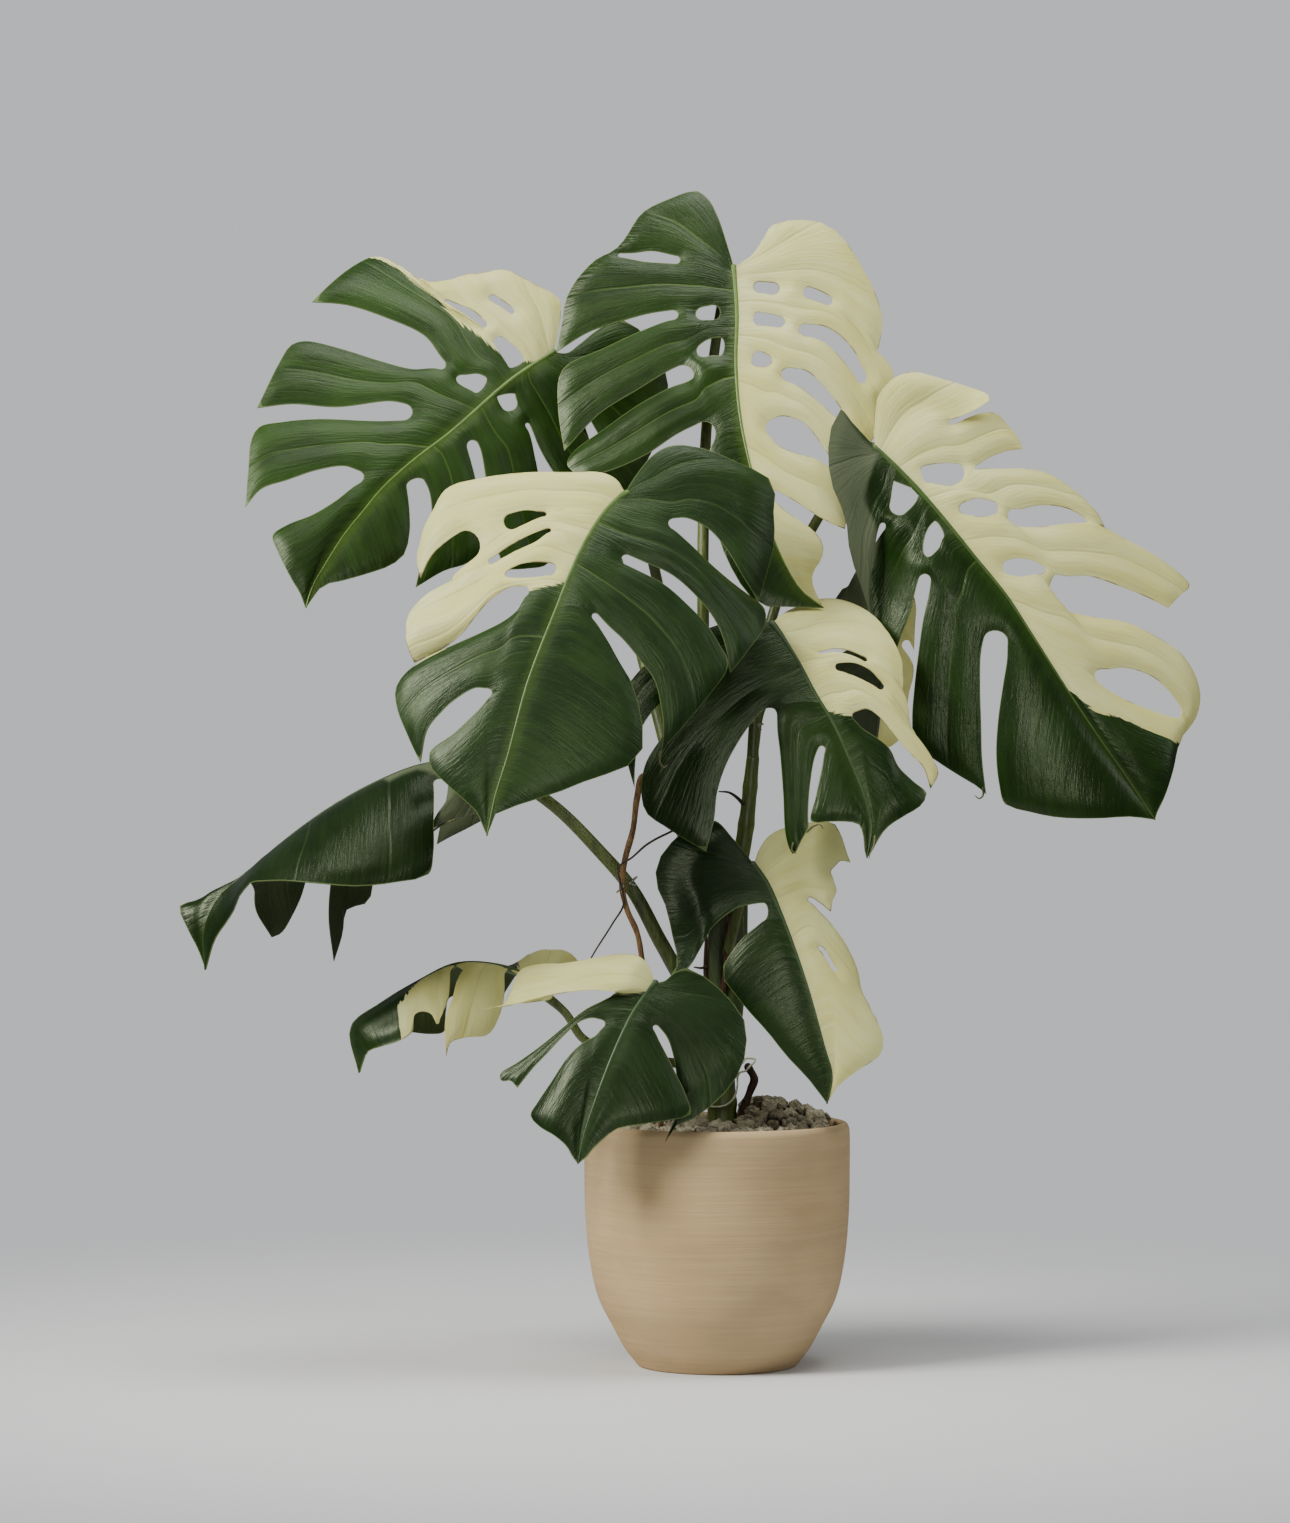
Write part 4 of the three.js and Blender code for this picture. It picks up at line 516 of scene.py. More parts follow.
def sheath_skin():
    """An old leaf base: green, streaked with pale lines and edged reddish brown."""
    material, place = finish("sheath", Roughness=0.5, Specular_IOR_Level=0.35)
    streaks = place.stretched(300, 300, 5).clouds(1.0, detail=4.0, roughness=0.7)
    patches = place.stretched(60, 60, 10).clouds(1.0, detail=3.0)
    tone = patches.fade(0.35, 0.65).blend((0.035, 0.06, 0.014), (0.075, 0.115, 0.026))
    tone = (streaks.fade(0.6, 0.66) * 0.8).blend(tone, (0.045, 0.018, 0.01))
    tone = ((1 - streaks.fade(0.33, 0.38)) * 0.6).blend(tone, (0.3, 0.3, 0.16))
    return dress(material, colour=tone, relief=streaks, depth=1.2)


def on_stem(height):
    """The point on the stem's middle line that is nearest to a height."""
    return STEM_LINE[np.abs(STEM_LINE[:, 2] - height).argmin()]


share = np.linspace(0, 1, len(STEM_LINE))
swell = sum(NODES["swell"] * np.exp(-((STEM_LINE[:, 2] - height) / NODES["spread"]) ** 2)
            for height in NODES["heights"])
radii = (STEM_RADIUS[0] + (STEM_RADIUS[1] - STEM_RADIUS[0]) * share) * (1 + swell)
stem_parts = [tube(STEM_LINE, radii, sides=40)]
for sheath in SHEATHS:
    way = rounded(sheath["way"], steps=10)
    places = np.linspace(0, 1, len(sheath["radii"]))
    radii = np.interp(np.linspace(0, 1, len(way)), places, sheath["radii"])
    stem_parts.append(dict(tube(way, radii, sides=32), look=1))
stem_parts += [tapered(way, **ROOTLET) for way in ROOTLETS]
stem_parts += [tapered(way, **SHEATH_EDGE) for way in SHEATH_EDGES]
stem = built("vine_stem", stem_parts, [
    green_stalk("stem_green", (0.055, 0.085, 0.012), (0.15, 0.2, 0.03)), sheath_skin(),
    bark("rootlet_bark", (0.03, 0.02, 0.01), (0.09, 0.06, 0.03)),
    bark("papery_edge", (0.03, 0.01, 0.007), (0.13, 0.05, 0.035))])
mounted(stem, "main_stem", "stem")


# Leaves: ten large blades with slits and holes, each on its own stalk from the stem. A blade is a
# row of lobes on either side of its midrib, each with one or two side veins, joined by narrow webs.
# The holes and slits lie in the webs. It is thin, smooth and glossy, green with cream sectors.
EYE = (-72, -4500, 603)
LOBE_COLUMNS = 12
WEB_COLUMNS = 8
BLADE_ROWS = 44
LEAST_ROWS = 2
EDGE_STEPS = 12
FINE_SHARES = 401
HOLE_END = 0.4
LOBE_WIDTH = 0.6
VEIN_SPACING = 105
MOST_VEINS = 3
BLADE_HALF = 0.45
SWELL = dict(height=1.8, vein=7, edge=9, rib=12)
EDGE_DROP = dict(depth=1.2, width=5)
CURL = dict(reach=150, rise=1.1, ease=0.35, dip=0.15)
BOW = 0.05
MIDRIB = dict(steps=70, sides=12, root=4.2, tip=0.8, taper=0.8, proud=0.75, sink=0.6)
STALK = dict(steps=14, sides=20, joint=9, under=1.2, knee=0.16, knee_at=16, knee_reach=12)
STALK_NECK = dict(reach=10, share=0.55, growth=0.045, least=0.5)
CURLED_TIP = dict(steps=6, thick=(1.3, 0.4), sides=8, look=4)
CURL_BACK = 2


def lobe(near, margin, far=None):
    """A lobe's edges, outwards along its near side, round its margin, and its far side's own line."""
    return dict(near=near, margin=margin, far=far)


def web(*holes, slit=None):
    """The web between two lobes: holes by their inner and outer ends, and where its slit starts."""
    return dict(holes=holes, slit=slit)


# Outlines are given in millimetres as seen from the front: across and up, with a depth
# where a lobe leaves its plane. A plane is a point, its depth, and its slope across and up.
LEAVES = {}
LEAVES["leaf_upper_left"] = dict(
    foot=462, thick=(7, 5),
    way=[(-8, 500, 24), (-34, 560, 44), (-62, 660, 84), (-88, 760, 130), (-112, 848, 170), (-138, 940, 194)],
    plane=(-163, 1013, 170, 0.25, 0.35), curl=34,
    midrib=[(-163, 1013), (-200, 989), (-218, 975), (-236, 959), (-267, 932), (-305, 903), (-335, 876),
            (-354, 853), (-372, 831), (-393, 798), (-405, 777), (-411, 757)],
    left=[
        lobe([(-163, 1013), (-158, 1035), (-156, 1052), (-158, 1066)], [(-185, 1082), (-212, 1095)],
             [(-172, 1011), (-188, 1037), (-200, 1053), (-212, 1063), (-224, 1072), (-236, 1092)]),
        web(((-202, 1053), (-227, 1069))),
        lobe([(-178, 1009), (-193, 1034), (-204, 1049), (-216, 1058), (-229, 1067), (-242, 1091)],
             [(-268, 1085)], [(-192, 1003), (-197, 1014), (-212, 1027), (-229, 1042), (-246, 1056),
             (-268, 1065), (-292, 1083)]),
        web(((-197, 1001), (-220, 1027)), ((-230, 1039), (-273, 1063))),
        lobe([(-207, 995), (-213, 1006), (-222, 1019), (-232, 1034), (-251, 1047), (-273, 1060, 4),
             (-300, 1086, 14)], [(-320, 1101, 22), (-341, 1109, 26), (-364, 1099, 14), (-387, 1081, 2)],
             [(-222, 984), (-237, 991), (-257, 991), (-274, 1006), (-292, 1029), (-330, 1047), (-370, 1060),
             (-405, 1063)]),
        web(((-234, 977), (-260, 987)), slit=(-271, 1000)),
        lobe([(-235, 969), (-243, 973), (-256, 980), (-278, 996), (-305, 996), (-340, 1005), (-375, 1016),
             (-412, 1024)], [(-426, 1020), (-438, 1002), (-450, 978)], [(-256, 950), (-290, 956),
             (-310, 961), (-327, 964), (-380, 958), (-425, 961), (-460, 957)]),
        web(slit=(-306, 951)),
        lobe([(-264, 943), (-290, 947), (-310, 945), (-340, 944), (-400, 946), (-435, 943), (-458, 938)],
             [(-466, 925), (-469, 895)], [(-316, 899), (-337, 894), (-356, 894), (-372, 899), (-400, 895),
             (-430, 885), (-456, 876), (-472, 858)]),
        web(slit=(-354, 888)),
        lobe([(-326, 889), (-342, 885), (-357, 882), (-383, 863), (-405, 850), (-430, 840), (-445, 829)],
             [(-440, 814), (-425, 785), (-416, 771)]),
    ],
    right=[
        lobe([(-163, 1013), (-150, 1012), (-137, 1021), (-121, 1034), (-106, 1042), (-92, 1044)],
             [(-77, 1035), (-62, 1015), (-50, 990), (-49, 965), (-56, 935), (-66, 910), (-78, 890)],
             [(-175, 1010), (-152, 985), (-137, 963), (-127, 946), (-117, 928), (-107, 908), (-96, 888),
             (-88, 876)]),
        web(((-132, 955), (-113, 921))),
        lobe([(-182, 1006), (-161, 980), (-146, 955), (-136, 938), (-126, 921), (-116, 902), (-105, 884),
             (-96, 871)], [(-104, 862)], [(-205, 995), (-201, 968), (-186, 939), (-176, 915), (-160, 888),
             (-140, 862), (-122, 848)]),
        web(((-209, 972), (-208, 953)), slit=(-189, 943)),
        lobe([(-226, 978), (-217, 961), (-207, 949), (-190, 937), (-181, 905), (-177, 885), (-168, 850),
             (-163, 815)], [(-170, 800), (-190, 796)], [(-257, 949), (-243, 930), (-236, 915), (-231, 888),
             (-226, 860), (-222, 825), (-212, 795)]),
        web(slit=(-243, 925)),
        lobe([(-268, 940), (-253, 928), (-249, 915), (-241, 885), (-237, 860), (-235, 835), (-234, 815)],
             [(-250, 801), (-272, 794)], [(-308, 907), (-298, 893), (-288, 875), (-285, 852), (-288, 830),
             (-296, 800), (-301, 777)]),
        web(slit=(-298, 887)),
        lobe([(-320, 895), (-312, 885), (-309, 870), (-307, 850), (-307, 832)], [(-312, 811), (-325, 800),
             (-350, 791), (-375, 784), (-394, 779)]),
    ])
LEAVES["leaf_top"] = dict(
    foot=412, thick=(7, 5),
    way=[(-6, 440, 12), (-16, 478, 10), (-21, 513, 12), (-18, 600, 22), (-14, 700, 42), (-14, 815, 62),
         (-11, 929, 88), (-2, 1017, 118), (8, 1072, 134)],
    plane=(17, 1098, 120, 0, 0.35), curl=28,
    midrib=[(17, 1098), (20, 1050), (19, 1000), (23, 950), (33, 900), (45, 860), (58, 822), (70, 796),
            (84, 774), (106, 757)],
    left=[
        lobe([(17, 1098), (11, 1118), (1, 1148), (-9, 1166), (-21, 1174)], [(-48, 1166), (-75, 1152),
             (-90, 1130), (-98, 1119)], [(19, 1092), (-12, 1104), (-40, 1109), (-65, 1114), (-85, 1112),
             (-108, 1112)]),
        web(((-37, 1105), (-99, 1110))),
        lobe([(19, 1086), (-14, 1097), (-40, 1101), (-70, 1103), (-98, 1108), (-113, 1110)], [(-136, 1091),
             (-151, 1066), (-156, 1038)], [(20, 1062), (-5, 1060), (-25, 1056), (-44, 1055), (-70, 1051),
             (-95, 1044), (-128, 1033), (-161, 1013)]),
        web(((3, 1052), (-21, 1052)), slit=(-39, 1052)),
        lobe([(20, 1046), (-5, 1045), (-22, 1045), (-45, 1045), (-76, 1034), (-115, 1016), (-150, 1000)],
             [(-158, 988), (-159, 955)], [(19, 1028), (-8, 1026), (-21, 1017), (-32, 1003), (-49, 994),
             (-80, 975), (-118, 951), (-153, 914)]),
        web(((8, 1017), (-23, 1015)), slit=(-25, 993)),
        lobe([(19, 1007), (-8, 1009), (-18, 1003), (-24, 987), (-48, 977), (-79, 960), (-113, 936),
             (-146, 911)], [(-150, 900), (-142, 892)], [(21, 970), (2, 953), (-18, 942), (-40, 931),
             (-70, 911), (-100, 897), (-132, 887)]),
        web(slit=(-3, 936)),
        lobe([(26, 935), (6, 932), (-4, 922), (-10, 904)], [(-10, 880), (-5, 850), (8, 810), (27, 776),
             (44, 760), (75, 758)]),
    ],
    right=[
        lobe([(17, 1098), (35, 1110), (46, 1126), (56, 1140)], [(83, 1145), (108, 1141), (126, 1127),
             (142, 1103), (157, 1075), (166, 1045)], [(19, 1086), (37, 1084), (62, 1082), (90, 1079),
             (116, 1067), (140, 1042), (162, 1018)]),
        web(((36, 1078), (62, 1075)), ((86, 1074), (116, 1063))),
        lobe([(20, 1068), (37, 1072), (60, 1070), (88, 1067), (112, 1058), (138, 1032), (161, 1013)],
             [(172, 1002), (177, 988)], [(20, 1056), (37, 1054), (60, 1050), (85, 1042), (110, 1038),
             (133, 1020), (150, 990), (163, 963)]),
        web(((35, 1047), (68, 1043)), ((82, 1037), (152, 985))),
        lobe([(20, 1036), (37, 1039), (62, 1037), (86, 1030), (108, 1022), (130, 1000), (146, 976),
             (160, 955)], [(161, 935)], [(19, 1022), (37, 1016), (52, 1010), (68, 999), (90, 994),
             (112, 973), (130, 947), (146, 912)]),
        web(((34, 1007), (54, 1003)), ((66, 993), (124, 950))),
        lobe([(19, 1002), (37, 999), (54, 996), (66, 986), (86, 976), (104, 961), (121, 944), (137, 908)],
             [(137, 893)], [(22, 966), (38, 957), (52, 947), (67, 949), (86, 943), (104, 922), (118, 900),
             (130, 878)]),
        web(((50, 939), (117, 903))),
        lobe([(24, 946), (38, 938), (51, 930), (62, 919), (82, 911), (101, 905), (116, 892), (127, 872)],
             [(131, 855)], [(35, 893), (47, 884), (60, 875), (78, 864), (98, 851), (112, 843), (128, 836)]),
        web(slit=(56, 872)),
        lobe([(40, 876), (50, 870), (58, 863), (70, 853), (86, 842)], [(98, 833), (106, 820), (105, 806),
             (98, 796), (95, 784)]),
    ])
LEAVES["leaf_right"] = dict(
    foot=572, thick=(5.5, 5),
    way=[(36, 598, 22), (37, 635, 27), (44, 700, 38), (66, 780, 60), (98, 841, 80), (128, 890, 100),
         (148, 916, 100)],
    plane=(158, 918, 40, 0.08, 0.2), curl=30,
    midrib=[(158, 918), (180, 897), (205, 871), (230, 842), (260, 805), (290, 768), (315, 730), (336, 697),
            (356, 666), (380, 630), (408, 590), (438, 545)],
    left=[
        lobe([(158, 918), (148, 929, -4), (136, 942, -10), (124, 955, -16)], [(114, 935, -18),
             (112, 900, -18), (118, 872, -16), (129, 848, -12), (132, 820, -10), (138, 796, -10),
             (149, 765, -10), (154, 742, -12)], [(180, 897), (176, 880), (172, 858), (163, 840),
             (158, 815, -3), (154, 790, -6), (156, 755, -9), (157, 720, -12)]),
        web(((185, 882), (180, 851)), slit=(167, 842)),
        lobe([(203, 874), (198, 862), (186, 850), (170, 838, 8), (156, 818, 22), (143, 800, 28),
             (128, 772, 28), (110, 733, 26)], [(135, 725, 22), (158, 715, 12)], [(224, 849), (212, 838),
             (206, 820), (206, 808), (203, 793), (198, 775), (192, 750), (183, 727), (175, 702)]),
        web(((222, 842), (210, 809)), slit=(209, 790)),
        lobe([(238, 832), (227, 828), (222, 817), (213, 806), (214, 790), (212, 772), (206, 745), (201, 710),
             (197, 675), (195, 645), (198, 620)], [(220, 603), (245, 587), (260, 578)], [(282, 778),
             (273, 755), (269, 735), (264, 712), (263, 680), (264, 640), (265, 605), (269, 570)]),
        web(slit=(280, 734)),
        lobe([(302, 750), (295, 740), (291, 725), (290, 705), (286, 680), (281, 645), (279, 610), (282, 580),
             (288, 560)], [(310, 553), (340, 547), (380, 546), (415, 548)]),
    ],
    right=[
        lobe([(158, 918), (157, 940), (161, 967), (175, 985), (195, 993)], [(225, 986, -4), (254, 977, -12),
             (271, 970, -24)], [(168, 908), (190, 928), (212, 943), (236, 946, -4), (256, 954, -16),
             (272, 964, -30)]),
        web(slit=(232, 942)),
        lobe([(175, 902), (193, 921), (214, 935), (236, 940), (252, 947), (268, 952), (281, 950)],
             [(293, 938), (302, 926)], [(187, 890), (207, 899), (235, 902), (257, 899), (274, 908),
             (290, 914), (306, 916)]),
        web(((204, 892), (245, 890)), slit=(257, 898)),
        lobe([(198, 878), (212, 882), (237, 880), (259, 895), (285, 896), (310, 896), (333, 891),
             (350, 880)], [(366, 868), (380, 853)], [(220, 853), (243, 861), (262, 867), (283, 862),
             (300, 856), (325, 860), (350, 857), (372, 846), (388, 838)]),
        web(((242, 857), (281, 858)), ((289, 846), (371, 850)), slit=(384, 842)),
        lobe([(230, 842), (245, 850), (265, 848), (284, 850), (300, 839), (325, 838), (350, 841), (380, 841),
             (405, 828), (435, 812), (466, 789)], [(473, 779), (462, 768)], [(260, 805), (284, 804),
             (303, 807), (321, 803), (333, 794), (348, 789), (372, 789), (400, 780), (430, 768),
             (452, 757)]),
        web(((286, 797), (331, 797)), slit=(332, 778)),
        lobe([(272, 790), (286, 791), (304, 788), (322, 790), (333, 776), (345, 757), (375, 748), (408, 743),
             (440, 728), (466, 710), (480, 687)], [(484, 668), (480, 648)], [(310, 738), (335, 722),
             (362, 706), (385, 696), (410, 697), (438, 687), (458, 667), (468, 650), (471, 634)]),
        web(((379, 691), (467, 652))),
        lobe([(324, 716), (346, 701), (372, 690), (394, 673), (420, 660), (444, 651), (460, 645),
             (467, 630)], [(462, 618), (457, 595), (448, 568), (440, 552)]),
    ])
LEAVES["leaf_centre"] = dict(
    foot=432, thick=(6.5, 5),
    way=[(-8, 470, -12), (-25, 560, -2), (-40, 640, 8), (-50, 730, 6), (-66, 810, -28), (-80, 852, -58)],
    plane=(-92, 873, -80, 0, 0.3), curl=34,
    midrib=[(-92, 873), (-112, 853), (-132, 822), (-147, 790), (-161, 755), (-176, 718), (-190, 680),
            (-201, 640), (-210, 606), (-222, 568), (-230, 529)],
    left=[
        lobe([(-92, 873), (-100, 885), (-114, 892), (-150, 893), (-200, 892), (-240, 886), (-270, 877),
             (-284, 856), (-289, 832)], [(-300, 815), (-300, 800)], [(-111, 854), (-140, 853), (-172, 853),
             (-192, 855), (-215, 849), (-245, 839), (-268, 826), (-286, 809), (-297, 787)]),
        web(((-171, 851), (-214, 840)), slit=(-241, 827)),
        lobe([(-120, 842), (-148, 846), (-172, 849), (-192, 841), (-210, 832), (-224, 822), (-242, 808),
             (-258, 795)], [(-266, 786)], [(-130, 826), (-150, 834), (-167, 837), (-186, 831), (-205, 821),
             (-225, 808), (-245, 796), (-262, 782)]),
        web(((-166, 835), (-228, 801))),
        lobe([(-135, 816), (-152, 828), (-166, 833), (-182, 823), (-202, 814), (-228, 800), (-260, 786),
             (-290, 770), (-308, 752)], [(-311, 744)], [(-143, 799), (-160, 801), (-178, 803), (-197, 801),
             (-212, 793), (-237, 774), (-268, 751), (-311, 735)]),
        web(((-161, 796), (-212, 792))),
        lobe([(-149, 786), (-162, 790), (-180, 788), (-200, 787), (-213, 787), (-238, 769), (-269, 746),
             (-311, 731)], [(-309, 716)], [(-153, 776), (-175, 780), (-193, 779), (-209, 777), (-228, 764),
             (-243, 747), (-257, 730, 3), (-275, 716, 6), (-303, 702, 6)]),
        web(slit=(-188, 775)),
        lobe([(-160, 760), (-178, 768), (-192, 768), (-198, 757), (-212, 745), (-235, 733), (-262, 721),
             (-290, 708), (-312, 692)], [(-322, 676), (-320, 655), (-311, 632), (-303, 614)], [(-185, 695),
             (-206, 688), (-228, 677), (-242, 677), (-260, 667), (-276, 653), (-290, 635), (-297, 602)]),
        web(slit=(-226, 674)),
        lobe([(-192, 675), (-210, 674), (-226, 669), (-236, 658), (-248, 646), (-264, 631), (-288, 612)],
             [(-286, 597), (-270, 580), (-250, 562), (-240, 552), (-235, 541)]),
    ],
    right=[
        lobe([(-92, 873), (-80, 891), (-65, 909), (-50, 918), (-33, 920)], [(-8, 915), (18, 904), (42, 893),
             (57, 881), (57, 850, 8), (58, 822, 10), (50, 790, 12)], [(-102, 863), (-75, 857), (-48, 847),
             (-30, 847), (-8, 836), (9, 817), (24, 792), (42, 763, 10)]),
        web(slit=(-48, 842)),
        lobe([(-110, 855), (-82, 845), (-48, 838), (-30, 824), (-8, 803), (15, 783, 10), (33, 769, 14),
             (48, 756, 16)], [(48, 738, 8), (32, 715)], [(-128, 829), (-100, 815), (-75, 804), (-45, 790),
             (-20, 768), (-2, 745), (8, 722), (14, 692)]),
        web(slit=(-94, 810)),
        lobe([(-134, 818), (-108, 808), (-82, 796), (-52, 780), (-28, 759), (-10, 740), (3, 720), (12, 700)],
             [(-12, 664), (-38, 633), (-53, 615)], [(-149, 785), (-134, 768), (-121, 753), (-107, 738),
             (-94, 726), (-76, 704), (-62, 684), (-55, 655), (-53, 630), (-57, 601)]),
        web(slit=(-123, 752)),
        lobe([(-160, 757), (-142, 758), (-125, 747), (-112, 729), (-98, 705)], [(-86, 685), (-77, 655),
             (-73, 622), (-79, 606), (-97, 595), (-125, 586), (-160, 572), (-198, 560), (-221, 551),
             (-227, 541)]),
    ])
LEAVES["leaf_mid_right"] = dict(
    foot=600, thick=(6, 4.5),
    way=[(38, 650, 4), (43, 700, 2), (50, 728, -12)],
    plane=(56, 742, -30, 0, 0.25), curl=20,
    midrib=[(56, 742), (78, 708), (99, 670), (116, 642), (134, 602), (149, 564), (155, 538), (150, 507)],
    left=[
        lobe([(56, 742), (30, 746), (-5, 738), (-45, 718), (-80, 692)], [(-98, 660), (-94, 620), (-88, 595)],
             [(66, 727), (35, 712), (0, 690), (-30, 675), (-57, 661), (-76, 636), (-82, 603), (-83, 577)]),
        web(slit=(-28, 678)),
        lobe([(74, 714), (40, 700), (10, 682), (-15, 664), (-40, 644), (-60, 621), (-73, 598)], [(-76, 572),
             (-71, 552), (-52, 538), (-30, 524)], [(94, 680), (74, 670), (55, 661), (42, 651), (25, 629),
             (9, 600), (0, 572), (-3, 545), (-11, 513)]),
        web(slit=(51, 659)),
        lobe([(104, 662), (82, 662), (62, 656), (60, 640), (63, 610), (66, 570), (68, 532), (72, 516)],
             [(76, 510), (84, 524)], [(118, 638), (112, 630), (104, 621), (98, 608), (93, 580), (91, 555),
             (91, 537)]),
        web(slit=(105, 619)),
        lobe([(122, 630), (116, 626), (109, 617), (105, 598), (99, 570), (94, 543)], [(110, 543), (131, 543),
             (144, 540)]),
    ],
    right=[
        lobe([(56, 742), (64, 750, 18), (76, 757, 40), (100, 766, 50), (127, 765, 44)], [(155, 751, 28),
             (175, 727, 14), (186, 700, 4)], [(70, 722), (85, 716), (102, 714), (118, 717), (135, 714),
             (150, 707), (167, 695), (186, 677)]),
        web(((101, 712), (149, 703))),
        lobe([(77, 710), (88, 711), (102, 711), (118, 713), (134, 710), (149, 703), (167, 690), (187, 672)],
             [(191, 660)], [(87, 693), (105, 698), (121, 702), (139, 702), (155, 694), (167, 681),
             (180, 663), (193, 646)]),
        web(((118, 700), (167, 677))),
        lobe([(93, 682), (108, 690), (121, 694), (132, 691), (148, 684), (163, 675), (177, 658), (195, 638)],
             [(204, 622), (216, 606), (222, 592)], [(112, 650), (124, 655), (137, 653), (150, 656),
             (163, 648), (178, 630), (193, 612), (207, 597), (214, 576)]),
        web(slit=(135, 649)),
        lobe([(119, 637), (127, 642), (136, 645), (146, 636), (160, 627), (173, 616), (182, 598), (196, 584),
             (210, 571)], [(204, 559), (188, 549), (169, 536)]),
    ])
LEAVES["leaf_side_left"] = dict(
    foot=352, thick=(8, 5.5),
    way=[(-28, 376, -16), (-55, 420, -24), (-85, 475, -32), (-120, 516, -40), (-160, 556, -47)],
    plane=(-205, 597, -50, 0.1, 0), curl=0,
    midrib=[(-205, 597, 0), (-250, 603, 0), (-292, 601, 2), (-340, 583, 6), (-390, 555, 10), (-430, 526, 12),
            (-468, 494, 12), (-498, 468, 6), (-513, 436, -4), (-512, 395, -12)],
    left=[
        lobe([(-205, 597), (-198, 590, 20), (-200, 575, 50), (-210, 560, 70)], [(-235, 545, 80),
             (-262, 530, 84)], [(-225, 600), (-240, 598, 30), (-262, 580, 70), (-275, 545, 92),
             (-280, 520, 98)]),
        web(slit=(-262, 580)),
        lobe([(-262, 602), (-278, 598, 32), (-304, 574, 70), (-330, 535, 92), (-344, 497, 104)],
             [(-350, 463, 106), (-371, 455, 106), (-376, 430, 100)], [(-350, 578), (-358, 570, 34),
             (-372, 545, 68), (-384, 500, 88), (-389, 450, 92), (-384, 403, 86)]),
        web(slit=(-376, 528)),
        lobe([(-375, 564), (-384, 556, 34), (-398, 530, 66), (-408, 500, 82), (-414, 476, 84)],
             [(-425, 450, 78), (-436, 432, 72)], [(-440, 518), (-452, 504, 22), (-462, 480, 42),
             (-462, 455, 52), (-446, 427, 62)]),
        web(slit=(-464, 478)),
        lobe([(-462, 500), (-475, 488, 18), (-488, 474, 26), (-502, 466, 28)], [(-537, 460, 20),
             (-530, 437, 6), (-519, 415, -4)]),
    ],
    right=[
        lobe([(-205, 597), (-196, 588, -12), (-190, 578, -26), (-192, 568, -36)], [(-215, 556, -48),
             (-240, 551, -54), (-266, 545, -60), (-284, 536, -64), (-295, 518, -66)], [(-255, 603),
             (-263, 598, -22), (-268, 585, -38), (-272, 562, -52), (-284, 540, -60), (-296, 506, -64)]),
        web(slit=(-277, 588)),
        lobe([(-285, 602), (-285, 594, -22), (-283, 575, -44), (-283, 545, -64), (-283, 512, -76),
             (-288, 490, -80)], [(-318, 483, -86), (-360, 479, -88), (-400, 482, -84), (-435, 485, -74)],
             [(-440, 518), (-450, 505, -22), (-458, 494, -40), (-462, 484, -58)]),
        web(),
        lobe([(-450, 510), (-458, 500, -20), (-464, 490, -38), (-468, 482, -54)], [(-478, 470, -50),
             (-484, 455, -42), (-492, 442, -34), (-503, 425, -24)]),
    ])
LEAVES["leaf_low_left"] = dict(
    foot=280, thick=(5, 4),
    way=[(-28, 298, -14), (-75, 306, -20), (-112, 314, -24), (-135, 327, -26), (-152, 352, -28)],
    plane=(-172, 372, -26, 0.08, 0), curl=0,
    midrib=[(-172, 372, 0), (-195, 392, 0), (-225, 401, 2), (-262, 401, 6), (-300, 383, 10), (-338, 360, 10),
            (-366, 338, 2), (-358, 292, -14)],
    left=[
        lobe([(-172, 372), (-160, 385, 14), (-146, 400, 34), (-138, 403, 52)], [(-150, 414, 62),
             (-172, 414, 66)], [(-188, 386), (-186, 398, 20), (-188, 408, 42), (-196, 400, 66)]),
        web(),
        lobe([(-198, 394), (-202, 398, 20), (-210, 394, 44), (-214, 372, 64)], [(-225, 350, 70),
             (-240, 338, 72)], [(-238, 402), (-244, 396, 26), (-252, 380, 46), (-258, 355, 60),
             (-262, 335, 62)]),
        web(slit=(-255, 368)),
        lobe([(-252, 402), (-262, 395, 24), (-268, 378, 40), (-272, 352, 52), (-274, 333, 54)],
             [(-288, 331, 52)], [(-302, 382), (-306, 372, 16), (-308, 355, 30), (-306, 333, 44)]),
        web(slit=(-308, 350)),
        lobe([(-316, 374), (-320, 362, 12), (-324, 350, 20), (-330, 338, 26)], [(-345, 334, 28),
             (-360, 325, 20), (-361, 308, 4)]),
    ],
    right=[
        lobe([(-172, 372), (-167, 372, -8), (-164, 369, -14), (-167, 366, -20)], [(-177, 364, -24),
             (-190, 362, -30)], [(-190, 388), (-194, 386, -14), (-201, 375, -26), (-209, 362, -34)]),
        web(slit=(-200, 392)),
        lobe([(-208, 398), (-212, 391, -16), (-212, 376, -28), (-215, 355, -38), (-228, 330, -42)],
             [(-250, 327, -46), (-266, 322, -48)], [(-246, 402), (-254, 396, -14), (-260, 385, -26),
             (-265, 366, -38), (-272, 345, -46), (-271, 308, -48)]),
        web(slit=(-256, 397)),
        lobe([(-262, 401), (-267, 394, -12), (-268, 380, -22), (-270, 364, -30), (-277, 345, -36)],
             [(-279, 341, -36)], [(-292, 387), (-293, 378, -14), (-291, 364, -24), (-286, 352, -32),
             (-281, 342, -36)]),
        web(slit=(-290, 352)),
        lobe([(-304, 380), (-303, 372, -12), (-302, 358, -22), (-304, 345, -28), (-305, 333, -32)],
             [(-319, 324, -34), (-338, 318, -30), (-350, 313, -24), (-355, 302, -18)]),
    ])
